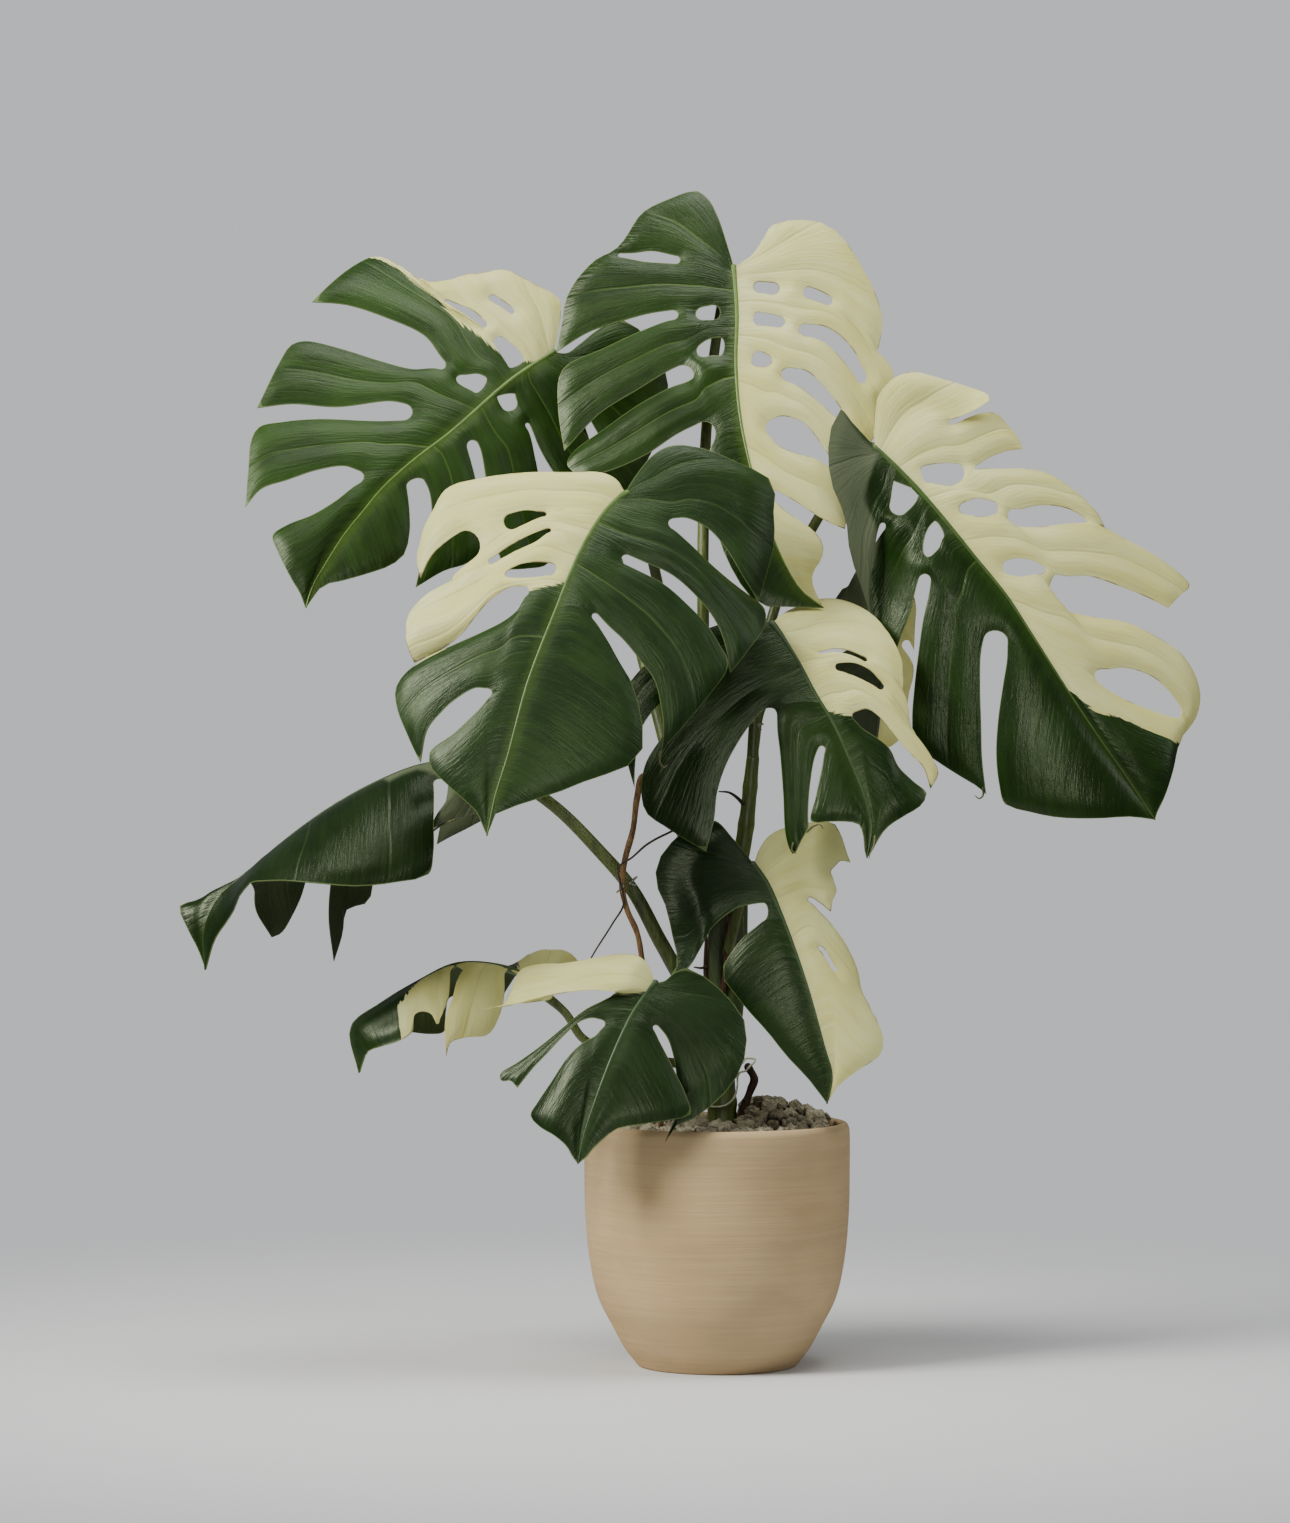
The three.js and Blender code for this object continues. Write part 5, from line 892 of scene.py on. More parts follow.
LEAVES["leaf_low_front"] = dict(
    foot=296, thick=(6, 4.5),
    way=[(-4, 318, -28), (-22, 352, -60), (-46, 376, -92)],
    plane=(-62, 382, -112, 0, 0.3), curl=22,
    midrib=[(-62, 382), (-73, 368), (-86, 348), (-100, 319), (-112, 290), (-123, 260), (-133, 230),
            (-139, 201)],
    left=[
        lobe([(-62, 382), (-68, 399), (-78, 409), (-98, 411, 14), (-125, 407, 14), (-155, 402, 12),
             (-180, 401, 10), (-197, 395, 8)], [(-206, 376, -4), (-215, 360, -10)], [(-68, 374),
             (-85, 375, -6), (-102, 373, -12), (-125, 375, -16), (-150, 373, -18), (-180, 367, -18),
             (-207, 360, -16), (-236, 356, -12)]),
        web(slit=(-101, 371)),
        lobe([(-76, 363), (-88, 368), (-102, 369), (-116, 363), (-132, 355), (-152, 339), (-175, 320),
             (-200, 302), (-217, 291)], [(-216, 284), (-207, 284)], [(-86, 348), (-100, 346), (-113, 345),
             (-126, 347), (-138, 343), (-152, 331), (-170, 312), (-185, 296), (-200, 277)]),
        web(slit=(-112, 341)),
        lobe([(-93, 334), (-105, 337), (-114, 337), (-122, 329), (-136, 321), (-150, 307), (-166, 283),
             (-180, 262), (-187, 249)], [(-178, 238), (-163, 229), (-150, 218), (-144, 208)]),
    ],
    right=[
        lobe([(-62, 382), (-52, 384), (-42, 392), (-29, 396)], [(-8, 385, 6), (14, 364, 10), (27, 346, 12),
             (30, 325, 12), (26, 300, 10), (14, 279, 8), (-2, 262, 6), (-22, 247, 6), (-40, 240, 4)],
             [(-80, 357), (-69, 348), (-60, 340), (-50, 328, 4), (-44, 312, 8), (-40, 290, 12),
             (-38, 262, 14), (-52, 223, 8)]),
        web(slit=(-63, 339)),
        lobe([(-88, 344), (-74, 342), (-64, 336), (-57, 323), (-49, 308), (-40, 290), (-31, 271),
             (-26, 250)], [(-50, 244), (-78, 240), (-100, 236), (-116, 224), (-129, 211), (-134, 203)]),
    ])
LEAVES["leaf_low_right"] = dict(
    foot=392, thick=(6, 4.5),
    way=[(14, 425, -16), (24, 465, -26), (33, 488, -38)],
    plane=(37, 501, -50, 0, 0.15), curl=26,
    midrib=[(37, 501), (50, 482), (64, 451), (77, 417), (89, 382), (99, 348), (108, 315), (115, 290),
            (110, 261)],
    left=[
        lobe([(37, 501), (28, 512), (16, 526), (-2, 544)], [(-24, 540), (-44, 524), (-59, 503), (-61, 482),
             (-52, 461), (-46, 438), (-42, 418, -8), (-38, 404, -14)], [(60, 460), (50, 462), (36, 461),
             (20, 457), (6, 448), (-7, 436), (-18, 416), (-31, 395, -14), (-47, 388, -30)]),
        web(slit=(50, 455)),
        lobe([(67, 443), (58, 445), (49, 445), (38, 437), (26, 427), (14, 412), (6, 398)], [(5, 388),
             (15, 374), (30, 355), (50, 333), (70, 308), (90, 287), (101, 273)]),
    ],
    right=[
        lobe([(37, 501), (42, 515), (50, 527), (62, 535)], [(85, 541), (116, 542), (125, 528), (130, 512)],
             [(50, 482), (78, 491), (102, 495), (116, 497), (124, 504), (134, 502)]),
        web(slit=(115, 493)),
        lobe([(54, 473), (78, 484), (102, 489), (115, 489), (118, 482)], [(120, 474), (116, 464)],
             [(61, 458), (76, 463), (92, 468), (103, 462), (114, 453)]),
        web(slit=(91, 465)),
        lobe([(67, 443), (78, 455), (91, 463), (104, 452), (118, 437), (131, 418), (141, 396)], [(145, 376)],
             [(80, 409), (94, 418), (104, 419), (113, 408), (121, 394), (135, 376), (153, 359)]),
        web(((101, 417), (120, 394))),
        lobe([(83, 400), (94, 411), (103, 414), (110, 404), (118, 391), (133, 371), (155, 354)], [(163, 338),
             (167, 322), (163, 309), (147, 298), (131, 287), (119, 276)]),
    ])
LEAVES["leaf_back"] = dict(
    foot=530, thick=(5, 4),
    way=[(33, 578, 38), (38, 620, 44), (44, 655, 50), (66, 690, 52), (104, 730, 52), (140, 762, 56)],
    plane=(165, 776, 66, 0, -0.95), curl=-20,
    midrib=[(165, 776), (168, 740), (167, 700), (163, 660), (160, 630), (156, 604)],
    left=[
        lobe([(165, 776), (176, 786), (188, 782), (196, 770)], [(199, 758), (198, 740)], [(168, 742),
             (180, 738), (190, 728), (197, 715)]),
        web(slit=(190, 728)),
        lobe([(168, 730), (178, 724), (188, 714), (196, 700)], [(196, 688), (192, 672)], [(166, 690),
             (176, 682), (184, 670), (190, 655)]),
        web(slit=(182, 672)),
        lobe([(165, 680), (174, 672), (180, 660), (186, 645)], [(184, 628), (172, 618), (160, 613)]),
    ],
    right=[
        lobe([(165, 776), (152, 786), (138, 784), (126, 774)], [(112, 758), (104, 738)], [(168, 745),
             (150, 742), (128, 730), (104, 714)]),
        web(slit=(128, 730)),
        lobe([(168, 733), (150, 728), (128, 714), (102, 698)], [(100, 688), (104, 674)], [(166, 692),
             (150, 684), (130, 668), (112, 652)]),
        web(slit=(134, 671)),
        lobe([(165, 682), (150, 672), (136, 656), (124, 638)], [(130, 628), (145, 616)]),
    ])

# Cream sectors by leaf and side, as outlines that take in the sector. They end at the midrib.
WHOLE = [(-600, 0), (600, 0), (600, 1300), (-600, 1300)]
CREAM = {
    "leaf_upper_left": dict(left=[
        (-150, 1003), (-194, 1003), (-222, 1016), (-243, 1031), (-262, 1045), (-280, 1066), (-298, 1079),
        (-318, 1095), (-335, 1104), (-352, 1107), (-352, 1140), (-150, 1140)]),
    "leaf_top": dict(right=WHOLE),
    "leaf_right": dict(right=[
        (100, 1060), (100, 880), (340, 660), (355, 676), (365, 664), (380, 652), (397, 648), (412, 642),
        (430, 634), (463, 621), (520, 600), (520, 1060)]),
    "leaf_centre": dict(left=[
        (-40, 940), (-100, 786), (-140, 786), (-152, 782), (-190, 773), (-212, 760), (-230, 747),
        (-259, 726), (-283, 711), (-308, 697), (-360, 690), (-360, 940)]),
    "leaf_mid_right": dict(right=[
        (30, 800), (40, 745), (85, 666), (104, 659), (112, 653), (124, 650), (136, 649), (150, 646),
        (163, 638), (178, 622), (193, 604), (210, 585), (240, 560), (260, 800)]),
    "leaf_low_left": dict(left=[(-130, 440), (-130, 380), (-160, 372), (-199, 392), (-199, 440)], right=[
        (-140, 440), (-286, 440), (-296, 385), (-308, 370), (-318, 358), (-319, 345), (-317, 332),
        (-320, 300), (-140, 300)]),
    "leaf_low_front": dict(left=[
        (-45, 376), (-70, 373), (-86, 371.5), (-101, 371), (-130, 366), (-250, 345), (-250, 430),
        (-45, 430)]),
    "leaf_low_right": dict(right=WHOLE),
    "leaf_back": dict(left=WHOLE),
}
# Where a blade is painted a dull grey-green and made rougher.
DULL_PATCHES = {
    "leaf_right": dict(left=[
        (124, 957), (142.6, 928), (161, 911), (151, 885), (146, 865), (159, 839), (162.5, 825), (154, 792),
        (152, 762), (157.5, 739), (160, 700), (90, 700), (90, 960)]),
    "leaf_side_left": dict(
        left=[(-180, 620), (-235, 620), (-262, 590), (-275, 545), (-281, 515), (-180, 515)],
        right=[(-180, 620), (-334, 620), (-334, 583), (-325, 583), (-313, 589), (-295, 595), (-277, 587),
               (-277, 560), (-281, 540), (-281, 500), (-180, 500)]),
}
# Small tips that curl back from the margin.
TIPS = {
    "leaf_side_left": [[(-262, 545), (-278, 538), (-289, 528), (-295, 517), (-296, 508), (-293, 502)]],
    "leaf_mid_right": [[(90, 533), (96, 538), (103, 540), (106, 536)], [(76, 521), (75, 514), (79, 511)],
                       [(158, 528), (157, 519), (153, 511), (152, 506)]],
    "leaf_centre": [[(-57, 612), (-57, 602), (-53, 597), (-50, 599)]],
    "leaf_right": [[(266, 576), (266, 569), (262, 566), (258, 569)]],
}
# Each leaf's deep green, light green, midrib colour and roughness.
GREENS = {
    "leaf_upper_left": ((0.006, 0.022, 0.001), (0.015, 0.047, 0.002), (0.075, 0.14, 0.012), 0.28),
    "leaf_top": ((0.004, 0.016, 0.0005), (0.01, 0.034, 0.001), (0.08, 0.14, 0.012), 0.22),
    "leaf_right": ((0.003, 0.014, 0.0005), (0.007, 0.028, 0.001), (0.033, 0.07, 0.006), 0.2),
    "leaf_centre": ((0.005, 0.019, 0.003), (0.013, 0.038, 0.005), (0.065, 0.12, 0.016), 0.26),
    "leaf_mid_right": ((0.003, 0.014, 0.001), (0.009, 0.029, 0.002), (0.024, 0.053, 0.008), 0.22),
    "leaf_side_left": ((0.002, 0.009, 0.0005), (0.005, 0.017, 0.001), (0.022, 0.045, 0.007), 0.2),
    "leaf_low_left": ((0.005, 0.018, 0.002), (0.012, 0.034, 0.003), (0.042, 0.078, 0.012), 0.28),
    "leaf_low_front": ((0.003, 0.012, 0.001), (0.007, 0.024, 0.003), (0.024, 0.056, 0.01), 0.24),
    "leaf_low_right": ((0.003, 0.013, 0.002), (0.008, 0.025, 0.003), (0.023, 0.05, 0.01), 0.22),
    "leaf_back": ((0.002, 0.008, 0.001), (0.005, 0.015, 0.002), (0.016, 0.034, 0.006), 0.36),
}
CREAM_TONES = ((0.89, 0.9, 0.44), (0.83, 0.8, 0.29))
UNDER_MATT = 0.15
JAGS = 16
GLOW = 0.38


def points3(points):
    """Points as seen, with a depth of 0 where none is given."""
    return [(*point, 0)[:3] for point in points]


def mix(first, second, share):
    """Points partway from the first to the second, each by its own share."""
    share = np.asarray(share, float)[..., None]
    return first + (second - first) * share


class Run:
    """A line of points that is read at shares of its length, from 0 to 1."""

    def __init__(self, line):
        self.line = np.array(line, float)
        steps = np.linalg.norm(np.diff(self.line, axis=0), axis=1)
        self.reach = np.concatenate([[0], np.cumsum(steps)])
        self.length = self.reach[-1]

    def at(self, share):
        goal = np.clip(share, 0, 1) * self.length
        return np.stack([np.interp(goal, self.reach, axis) for axis in self.line.T], axis=-1)

    def read(self, values, share):
        """Values that are given at the line's own points, there."""
        return np.stack([np.interp(share, self.reach / self.length, axis) for axis in values.T], axis=-1)

    def nearest(self, point):
        shares = np.linspace(0, 1, FINE_SHARES)
        away = np.linalg.norm(self.at(shares)[:, :2] - np.array(point[:2]), axis=1)
        return shares[away.argmin()]


def edge_runs(strip, root, far_root, tip):
    """A lobe's near edge, its margin round one smooth corner from it, and its far edge."""
    far = strip["far"]
    end = points3(far)[-1] if far else tip
    line = rounded([root, *points3(strip["near"])[1:], *points3(strip["margin"]), end], EDGE_STEPS)
    corner = (len(strip["near"]) - 1) * EDGE_STEPS
    far_line = rounded([far_root, *points3(far)[1:]], EDGE_STEPS) if far else [tip, tip]
    return dict(near=Run(line[:corner + 1]), margin=Run(line[corner:]), far=Run(far_line))


def side_runs(strips, midrib):
    """The edges of each lobe on one side, and where each lobe and web starts on the midrib."""
    runs, stations = [None] * len(strips), [0.0]
    for k, strip in enumerate(strips):
        edge = strips[k + 1]["near"] if "slit" in strip else strip["far"]
        stations.append(midrib.nearest(edge[0]) if edge else 1.0)
        if "near" in strip:
            runs[k] = edge_runs(strip, midrib.at(stations[k]), midrib.at(stations[k + 1]), midrib.at(1))
    return runs, stations


def web_rows(strip, far, near):
    """A web's rows: how far out each lies on its two edges, how its holes' ends are rounded there,
    and which rows are cut away."""
    marks = [[0, 0, 0, 0, False]]
    stops = [(point, side, side > 0) for hole in strip["holes"] for point, side in zip(hole, (1, -1))]
    if strip["slit"]:
        stops.append((strip["slit"], 1, True))
    for point, side, is_cut in stops:
        out, back = far.nearest(point), near.nearest(point)
        gap = np.linalg.norm(far.at(out) - near.at(back))
        marks.append([out, back, side * gap / 2, side * gap / 2, is_cut])
    marks.append([1, 1, 0, 0, False])
    for before, mark, after in zip(marks, marks[1:], marks[2:]):
        room = min((mark[0] - before[0]) * far.length, (after[0] - mark[0]) * far.length,
                   (mark[1] - before[1]) * near.length, (after[1] - mark[1]) * near.length)
        ease = math.copysign(min(abs(mark[2]), HOLE_END * room), mark[2])
        mark[2], mark[3] = ease / far.length, ease / near.length
    sizes = [b[0] - a[0] + b[1] - a[1] for a, b in zip(marks, marks[1:])]
    rows = [LEAST_ROWS] * len(sizes)
    while sum(rows) < BLADE_ROWS:
        rows[int(np.argmax([size / count for size, count in zip(sizes, rows)]))] += 1
    levels, cuts = [], []
    for start, end, count in zip(marks, marks[1:], rows):
        for row in range(count):
            levels.append([a + (b - a) * row / count for a, b in zip(start[:4], end[:4])])
            cuts.append(start[4])
    levels.append(marks[-1][:4])
    return dict(zip(("far", "near", "far_ease", "near_ease"), np.array(levels).T)), cuts


def web_column(root, far, near, levels, share):
    """A web's line of points from the midrib out, partway between its two edges."""
    ease = 1 - math.sqrt(1 - (2 * share - 1) ** 2)
    out = levels["far"] + levels["far_ease"] * ease
    back = levels["near"] + levels["near_ease"] * ease
    start = mix(far.at(0), near.at(0), share)
    fade = (1 - (out + back) / 2) ** 2
    return mix(far.at(out), near.at(back), share) + (root - start) * fade[:, None]


def lobe_rows(webs, k):
    """How far out a lobe's rows lie on its near and far edges, to meet those of the webs beside it."""
    before = webs[k - 1] if k else None
    after = webs[k + 1] if k + 1 < len(webs) else None
    near = before and before[0]["near"] + before[0]["near_ease"]
    far = after and after[0]["far"] + after[0]["far_ease"]
    return (far if near is None else near), (near if far is None else far)


def lobe_column(root, edges, near_rows, far_rows, share):
    """A lobe's line of points from the midrib out to its margin, partway between its two edges."""
    level = near_rows + (far_rows - near_rows) * share
    inner = mix(edges["near"].at(0), edges["far"].at(0), share)
    outer = mix(edges["near"].at(1), edges["far"].at(1), share)
    column = mix(edges["near"].at(near_rows), edges["far"].at(far_rows), share)
    return column + mix(root, edges["margin"].at(share), level) - mix(inner, outer, level)


def side_grid(strips, midrib):
    """One side of a blade: columns of points from the heart to the tip, as seen. With them their
    places on the midrib, the rows that are cut from each, its veins, and each column's way across."""
    runs, stations = side_runs(strips, midrib)
    webs = [web_rows(strip, runs[k - 1]["far"], runs[k + 1]["near"]) if "slit" in strip else None
            for k, strip in enumerate(strips)]
    columns, places, cuts, veins, across = [], [], [], [], []
    width = 0.0
    for k, strip in enumerate(strips):
        if "slit" in strip:
            shares = (1 - np.cos(np.pi * (np.arange(WEB_COLUMNS) / WEB_COLUMNS))) / 2
            levels, cut_rows = webs[k]
            far, near = runs[k - 1]["far"], runs[k + 1]["near"]
            size = np.linalg.norm(far.at(0.5) - near.at(0.5))
        else:
            shares = np.arange(LOBE_COLUMNS) / LOBE_COLUMNS
            near_rows, far_rows = lobe_rows(webs, k)
            cut_rows = [False] * BLADE_ROWS
            size = LOBE_WIDTH * runs[k]["margin"].length
            number = int(np.clip(round(runs[k]["margin"].length / VEIN_SPACING), 1, MOST_VEINS))
            if k + 1 < len(strips):
                veins += [len(columns) + round(LOBE_COLUMNS * (v + 0.5) / number) for v in range(number)]
        for share in shares:
            place = stations[k] + (stations[k + 1] - stations[k]) * share
            root = midrib.at(place)
            if "slit" in strip:
                columns.append(web_column(root, far, near, levels, share))
            else:
                columns.append(lobe_column(root, runs[k], near_rows, far_rows, share))
            places.append(place)
            cuts.append(cut_rows)
            across.append(width + size * share)
        width += size
    columns.append(np.tile(midrib.at(1), (BLADE_ROWS + 1, 1)))
    return np.array(columns), np.array([*places, 1.0]), cuts, veins, np.array([*across, width])


def seen(points):
    """Points that are given across, up and in depth as seen from the front, in their true places."""
    across, up, depth = np.asarray(points, float).T
    away = 1 + depth / -EYE[1]
    return np.stack([EYE[0] + (across - EYE[0]) * away, depth, EYE[2] + (up - EYE[2]) * away], axis=-1)


def away_from(points, starts, ends):
    """Each point's distance to the nearest of some straight pieces of line."""
    along = ends - starts
    size = np.maximum((along ** 2).sum(axis=1), 1e-9)
    nearest = []
    for point in points:
        part = np.clip(((point - starts) * along).sum(axis=1) / size, 0, 1)
        nearest.append((((starts + part[:, None] * along) - point) ** 2).sum(axis=1).min())
    return np.sqrt(nearest)


def depth_inside(points, outline):
    """How deep each flat point lies in a closed outline. It is below 0 outside it."""
    if not outline:
        return np.full(len(points), -99.0)
    starts = np.array(outline, float)
    ends = np.roll(starts, -1, axis=0)
    inside = np.zeros(len(points), bool)
    for (x0, y0), (x1, y1) in zip(starts, ends):
        beside = (y0 > points[:, 1]) != (y1 > points[:, 1])
        rise = (y1 - y0) or 1e-9
        inside ^= beside & (points[:, 0] < x0 + (points[:, 1] - y0) * (x1 - x0) / rise)
    return np.where(inside, 1, -1) * away_from(points, starts, ends)


def unit(ways):
    """Each way at a length of 1."""
    return ways / np.maximum(np.linalg.norm(ways, axis=-1), 1e-9)[..., None]


def grid_normals(grid, front):
    """The way that a grid of points faces at each of them, smooth over its whole side."""
    facing = unit(front * np.cross(np.gradient(grid, axis=0), np.gradient(grid, axis=1)))
    facing[-1] = facing[-2].mean(axis=0)
    for _ in range(2):
        facing[1:-1] = (facing[:-2] + 2 * facing[1:-1] + facing[2:]) / 4
        facing[:, 1:-1] = (facing[:, :-2] + 2 * facing[:, 1:-1] + facing[:, 2:]) / 4
    return unit(facing)


def laid(leaf, columns, places, midrib):
    """A side's points, given the depth of the leaf's plane, its curl and its bow, as seen. With them
    how far out each lies from the midrib."""
    reach = np.linalg.norm(np.diff(columns, axis=1), axis=2).cumsum(axis=1)
    reach = np.hstack([np.zeros((len(columns), 1)), reach])
    x0, z0, depth, slope_x, slope_z = leaf["plane"]
    out = reach / CURL["reach"]
    curl = CURL["rise"] * out ** 2 / (1 + CURL["ease"] * out ** 2) - CURL["dip"] * out
    bow = BOW * midrib.length * np.sin(np.pi * places)[:, None]
    plane = depth + slope_x * (columns[..., 0] - x0) + slope_z * (columns[..., 1] - z0)
    depths = plane + columns[..., 2] + leaf["curl"] * curl - bow
    return np.dstack([columns[..., 0], columns[..., 1], depths]), reach.ravel()


def side_faces(cuts, front):
    """A side's faces, but for its holes and slits, and the number of each corner in its grid."""
    corner = np.arange((len(cuts) + 1) * (BLADE_ROWS + 1)).reshape(len(cuts) + 1, BLADE_ROWS + 1)
    corner[-1] = corner[-1, 0]
    quads = []
    for i, cut_rows in enumerate(cuts):
        for j, is_cut in enumerate(cut_rows):
            if not is_cut:
                quad = [corner[i, j], corner[i + 1, j], corner[i + 1, j + 1], corner[i, j + 1]]
                quads.append(list(dict.fromkeys(quad[::front])))
    return quads, corner


def fullness(vein, edge, reach):
    """How far the blade swells out between its veins, and drops at its margin, in mm."""
    rise = SWELL["height"] * (1 - np.exp(-(vein / SWELL["vein"]) ** 2))
    rise = rise * (1 - np.exp(-(edge / SWELL["edge"]) ** 2)) * (1 - np.exp(-(reach / SWELL["rib"]) ** 2))
    return rise - EDGE_DROP["depth"] * np.exp(-edge / EDGE_DROP["width"])


def blade_side(leaf, strips, midrib, front, outlines):
    """One side of a blade as a closed thin solid, with the measures that its material needs. With it
    its line on the midrib and the way that it faces there."""
    columns, places, cuts, veins, across = side_grid(strips, midrib)
    flat, reach = laid(leaf, columns, places, midrib)
    flat = flat.reshape(-1, 3)
    grid = seen(flat).reshape(columns.shape)
    quads, corner = side_faces(cuts, front)
    links = {(a, b) for quad in quads for a, b in zip(quad, quad[1:] + quad[:1])}
    rims = [(a, b) for a, b in links if (b, a) not in links]
    on_midrib = set(corner[:, 0])
    margin = np.array([pair for pair in rims if not on_midrib.issuperset(pair)])
    lines = np.vstack([np.stack([corner[v, :-1], corner[v, 1:]], axis=1) for v in veins])
    points = grid.reshape(-1, 3)
    edge = away_from(points, points[margin[:, 0]], points[margin[:, 1]])
    vein = away_from(points, points[lines[:, 0]], points[lines[:, 1]])
    facing = grid_normals(grid, front).reshape(-1, 3)
    points = points + facing * fullness(vein, edge, reach)[:, None]
    cream, turned = [depth_inside(flat[:, :2], outline) for outline in outlines]
    used = sorted({c for quad in quads for c in quad})
    slot = {c: k for k, c in enumerate(used)}
    below = len(used)
    top = [[slot[c] for c in quad] for quad in quads]
    under = [[below + c for c in reversed(quad)] for quad in top]
    sides = [[slot[b], slot[a], below + slot[a], below + slot[b]] for a, b in rims]
    values = dict(vein=vein, edge=edge, reach=reach, cream=cream, turned=turned,
                  across=np.repeat(across, BLADE_ROWS + 1))
    half = facing[used] * BLADE_HALF
    part = dict(
        points=np.vstack([points[used] + half, points[used] - half]),
        faces=top + under + sides,
        looks=[0] * len(top) + [1] * len(under) + [0] * len(sides),
        values={name: np.tile(value[used], 2) for name, value in values.items()},
        flat=flat)
    return part, Run(grid[:, 0]), facing.reshape(grid.shape)[:, 0]


def midrib_tube(spine, up):
    """The midrib: thick at the heart and thin at the tip, sunk into the blade so that it stands
    a little proud of it."""
    shares = np.linspace(0, 1, MIDRIB["steps"])
    radii = MIDRIB["root"] + (MIDRIB["tip"] - MIDRIB["root"]) * shares ** MIDRIB["taper"]
    sunk = (radii - MIDRIB["proud"] * (1 - MIDRIB["sink"] * shares) - BLADE_HALF)[:, None]
    return dict(tube(spine.at(shares) - up * sunk, radii, MIDRIB["sides"]), look=2)


def stalk_tube(leaf, spine, up):
    """The stalk: from the stem up to just past the heart, with a swollen knee and a narrow neck."""
    base, knee = leaf["thick"]
    joint = spine.at(STALK["joint"] / spine.length) - up[1] * (STALK["under"] + knee / 2)
    path = rounded([on_stem(leaf["foot"]), *seen(leaf["way"]), joint], STALK["steps"])
    steps = Run(path)
    ends = steps.length - steps.reach
    thick = base + (knee - base) * steps.reach / steps.length
    bulge = np.exp(-((ends - STALK["knee_at"]) / STALK["knee_reach"]) ** 2)
    thick = thick * (1 + STALK["knee"] * bulge)
    neck = thick * (STALK_NECK["share"] + STALK_NECK["growth"] * ends)
    neck = np.maximum(neck, STALK_NECK["least"] * knee)
    thick = np.where(ends < STALK_NECK["reach"], neck, thick)
    return dict(tube(path, thick, STALK["sides"]), look=3)


def curled_tip(tip, flat):
    """A thin curl that starts at the depth of the blade beside it and leans towards the front."""
    depth = flat[np.linalg.norm(flat[:, :2] - tip[0], axis=1).argmin(), 2]
    way = seen([(*point, depth - CURL_BACK * k) for k, point in enumerate(tip)])
    return tapered(way, **CURLED_TIP)


def leaf_parts(leaf, cream, turned, tips):
    """Both sides of a blade, its midrib, its stalk and its curled tips."""
    midrib = Run(rounded(points3(leaf["midrib"]), EDGE_STEPS))
    sides = [blade_side(leaf, leaf[name], midrib, front, (cream.get(name), turned.get(name)))
             for name, front in (("left", -1), ("right", 1))]
    parts = [part for part, _, _ in sides]
    spine = sides[1][1]
    shares = np.linspace(0, 1, MIDRIB["steps"])
    up = unit(sum(line.read(facing, shares) for _, line, facing in sides))
    flat = np.vstack([part["flat"] for part in parts])
    return [*parts, midrib_tube(spine, up), stalk_tube(leaf, spine, up),
            *[curled_tip(tip, flat) for tip in tips]]


class BladeMarks:
    """What a blade's mesh tells of each point, and the grain that runs out along its veins."""

    def __init__(self, place):
        self.vein, self.edge, self.reach, self.cream, self.turned, across = (
            place.measure(name) for name in ("vein", "edge", "reach", "cream", "turned", "across"))
        lay = place.node("ShaderNodeCombineXYZ", {"X": across, "Y": self.reach, "Z": 0.0})
        self.fine = lay.stretched(0.5, 0.022, 1).clouds(1.0, detail=3.0, roughness=0.6)
        self.crinkle = lay.stretched(0.3, 0.07, 1).clouds(1.0, detail=3.0, roughness=0.65)
        self.broad = lay.stretched(0.16, 0.012, 1).clouds(1.0)
        self.jag = lay.stretched(0.35, 0.01, 1).clouds(1.0, detail=4.0, roughness=0.75)
        self.fleck = lay.stretched(0.5, 0.03, 1).clouds(1.0, detail=4.0, roughness=0.8)
        self.patches = place.clouds(16.0, detail=3.0)
        self.dry = place.clouds(40.0)
        self.near_rib = 1 - self.reach.fade(1.0, 12.0)
        self.line = (1 - self.vein.fade(0.3, 0.95)) * self.edge.fade(4.0, 34.0) * (
            1 - self.reach.fade(25.0, 190.0) * 0.8)


def green_flesh(blade, deep, light, rib):
    """Green, streaked and paler along its veins and midrib, with painted shade beside its veins and a thin
    pale line at its margin, a painted highlight where the rim catches light.
    """
    tone = (blade.patches * 0.6 + blade.broad * 0.4).fade(0.38, 0.62).blend(deep, light)
    tone = (blade.fine.fade(0.35, 0.7) * 0.35).blend(tone, light)
    tone = (blade.near_rib * 0.3).blend(tone, rib)
    tone = (blade.line * 0.6).blend(tone, rib)
    # Painted shade: a darker band beside each vein, where its groove is shaded.
    beside = (1 - blade.vein.fade(0.0, 9.0)) * blade.vein.fade(0.9, 2.2)
    tone = (beside * 0.25).blend(tone, deep)
    # Painted highlight: a thin pale line along the margin, for the lit rim of the blade.
    return ((1 - blade.edge.fade(0.2, 1.0)) * 0.45).blend(tone, (0.2, 0.27, 0.08))


def cream_flesh(blade):
    """Cream, streaked along its veins, with a margin that is dry and brown here and there."""
    tone = (blade.patches * 0.5 + blade.broad * 0.5).fade(0.36, 0.66).blend(*CREAM_TONES)
    tone = (blade.fine.fade(0.5, 0.75) * 0.3).blend(tone, (0.62, 0.56, 0.3))
    tone = (blade.line * 0.55).blend(tone, (0.48, 0.43, 0.17))
    tone = (blade.near_rib * 0.3).blend(tone, (0.62, 0.62, 0.3))
    dry = (1 - blade.edge.fade(0.3, 1.0)) * blade.dry.fade(0.5, 0.6)
    return (dry * 0.8).blend(tone, (0.14, 0.08, 0.035))


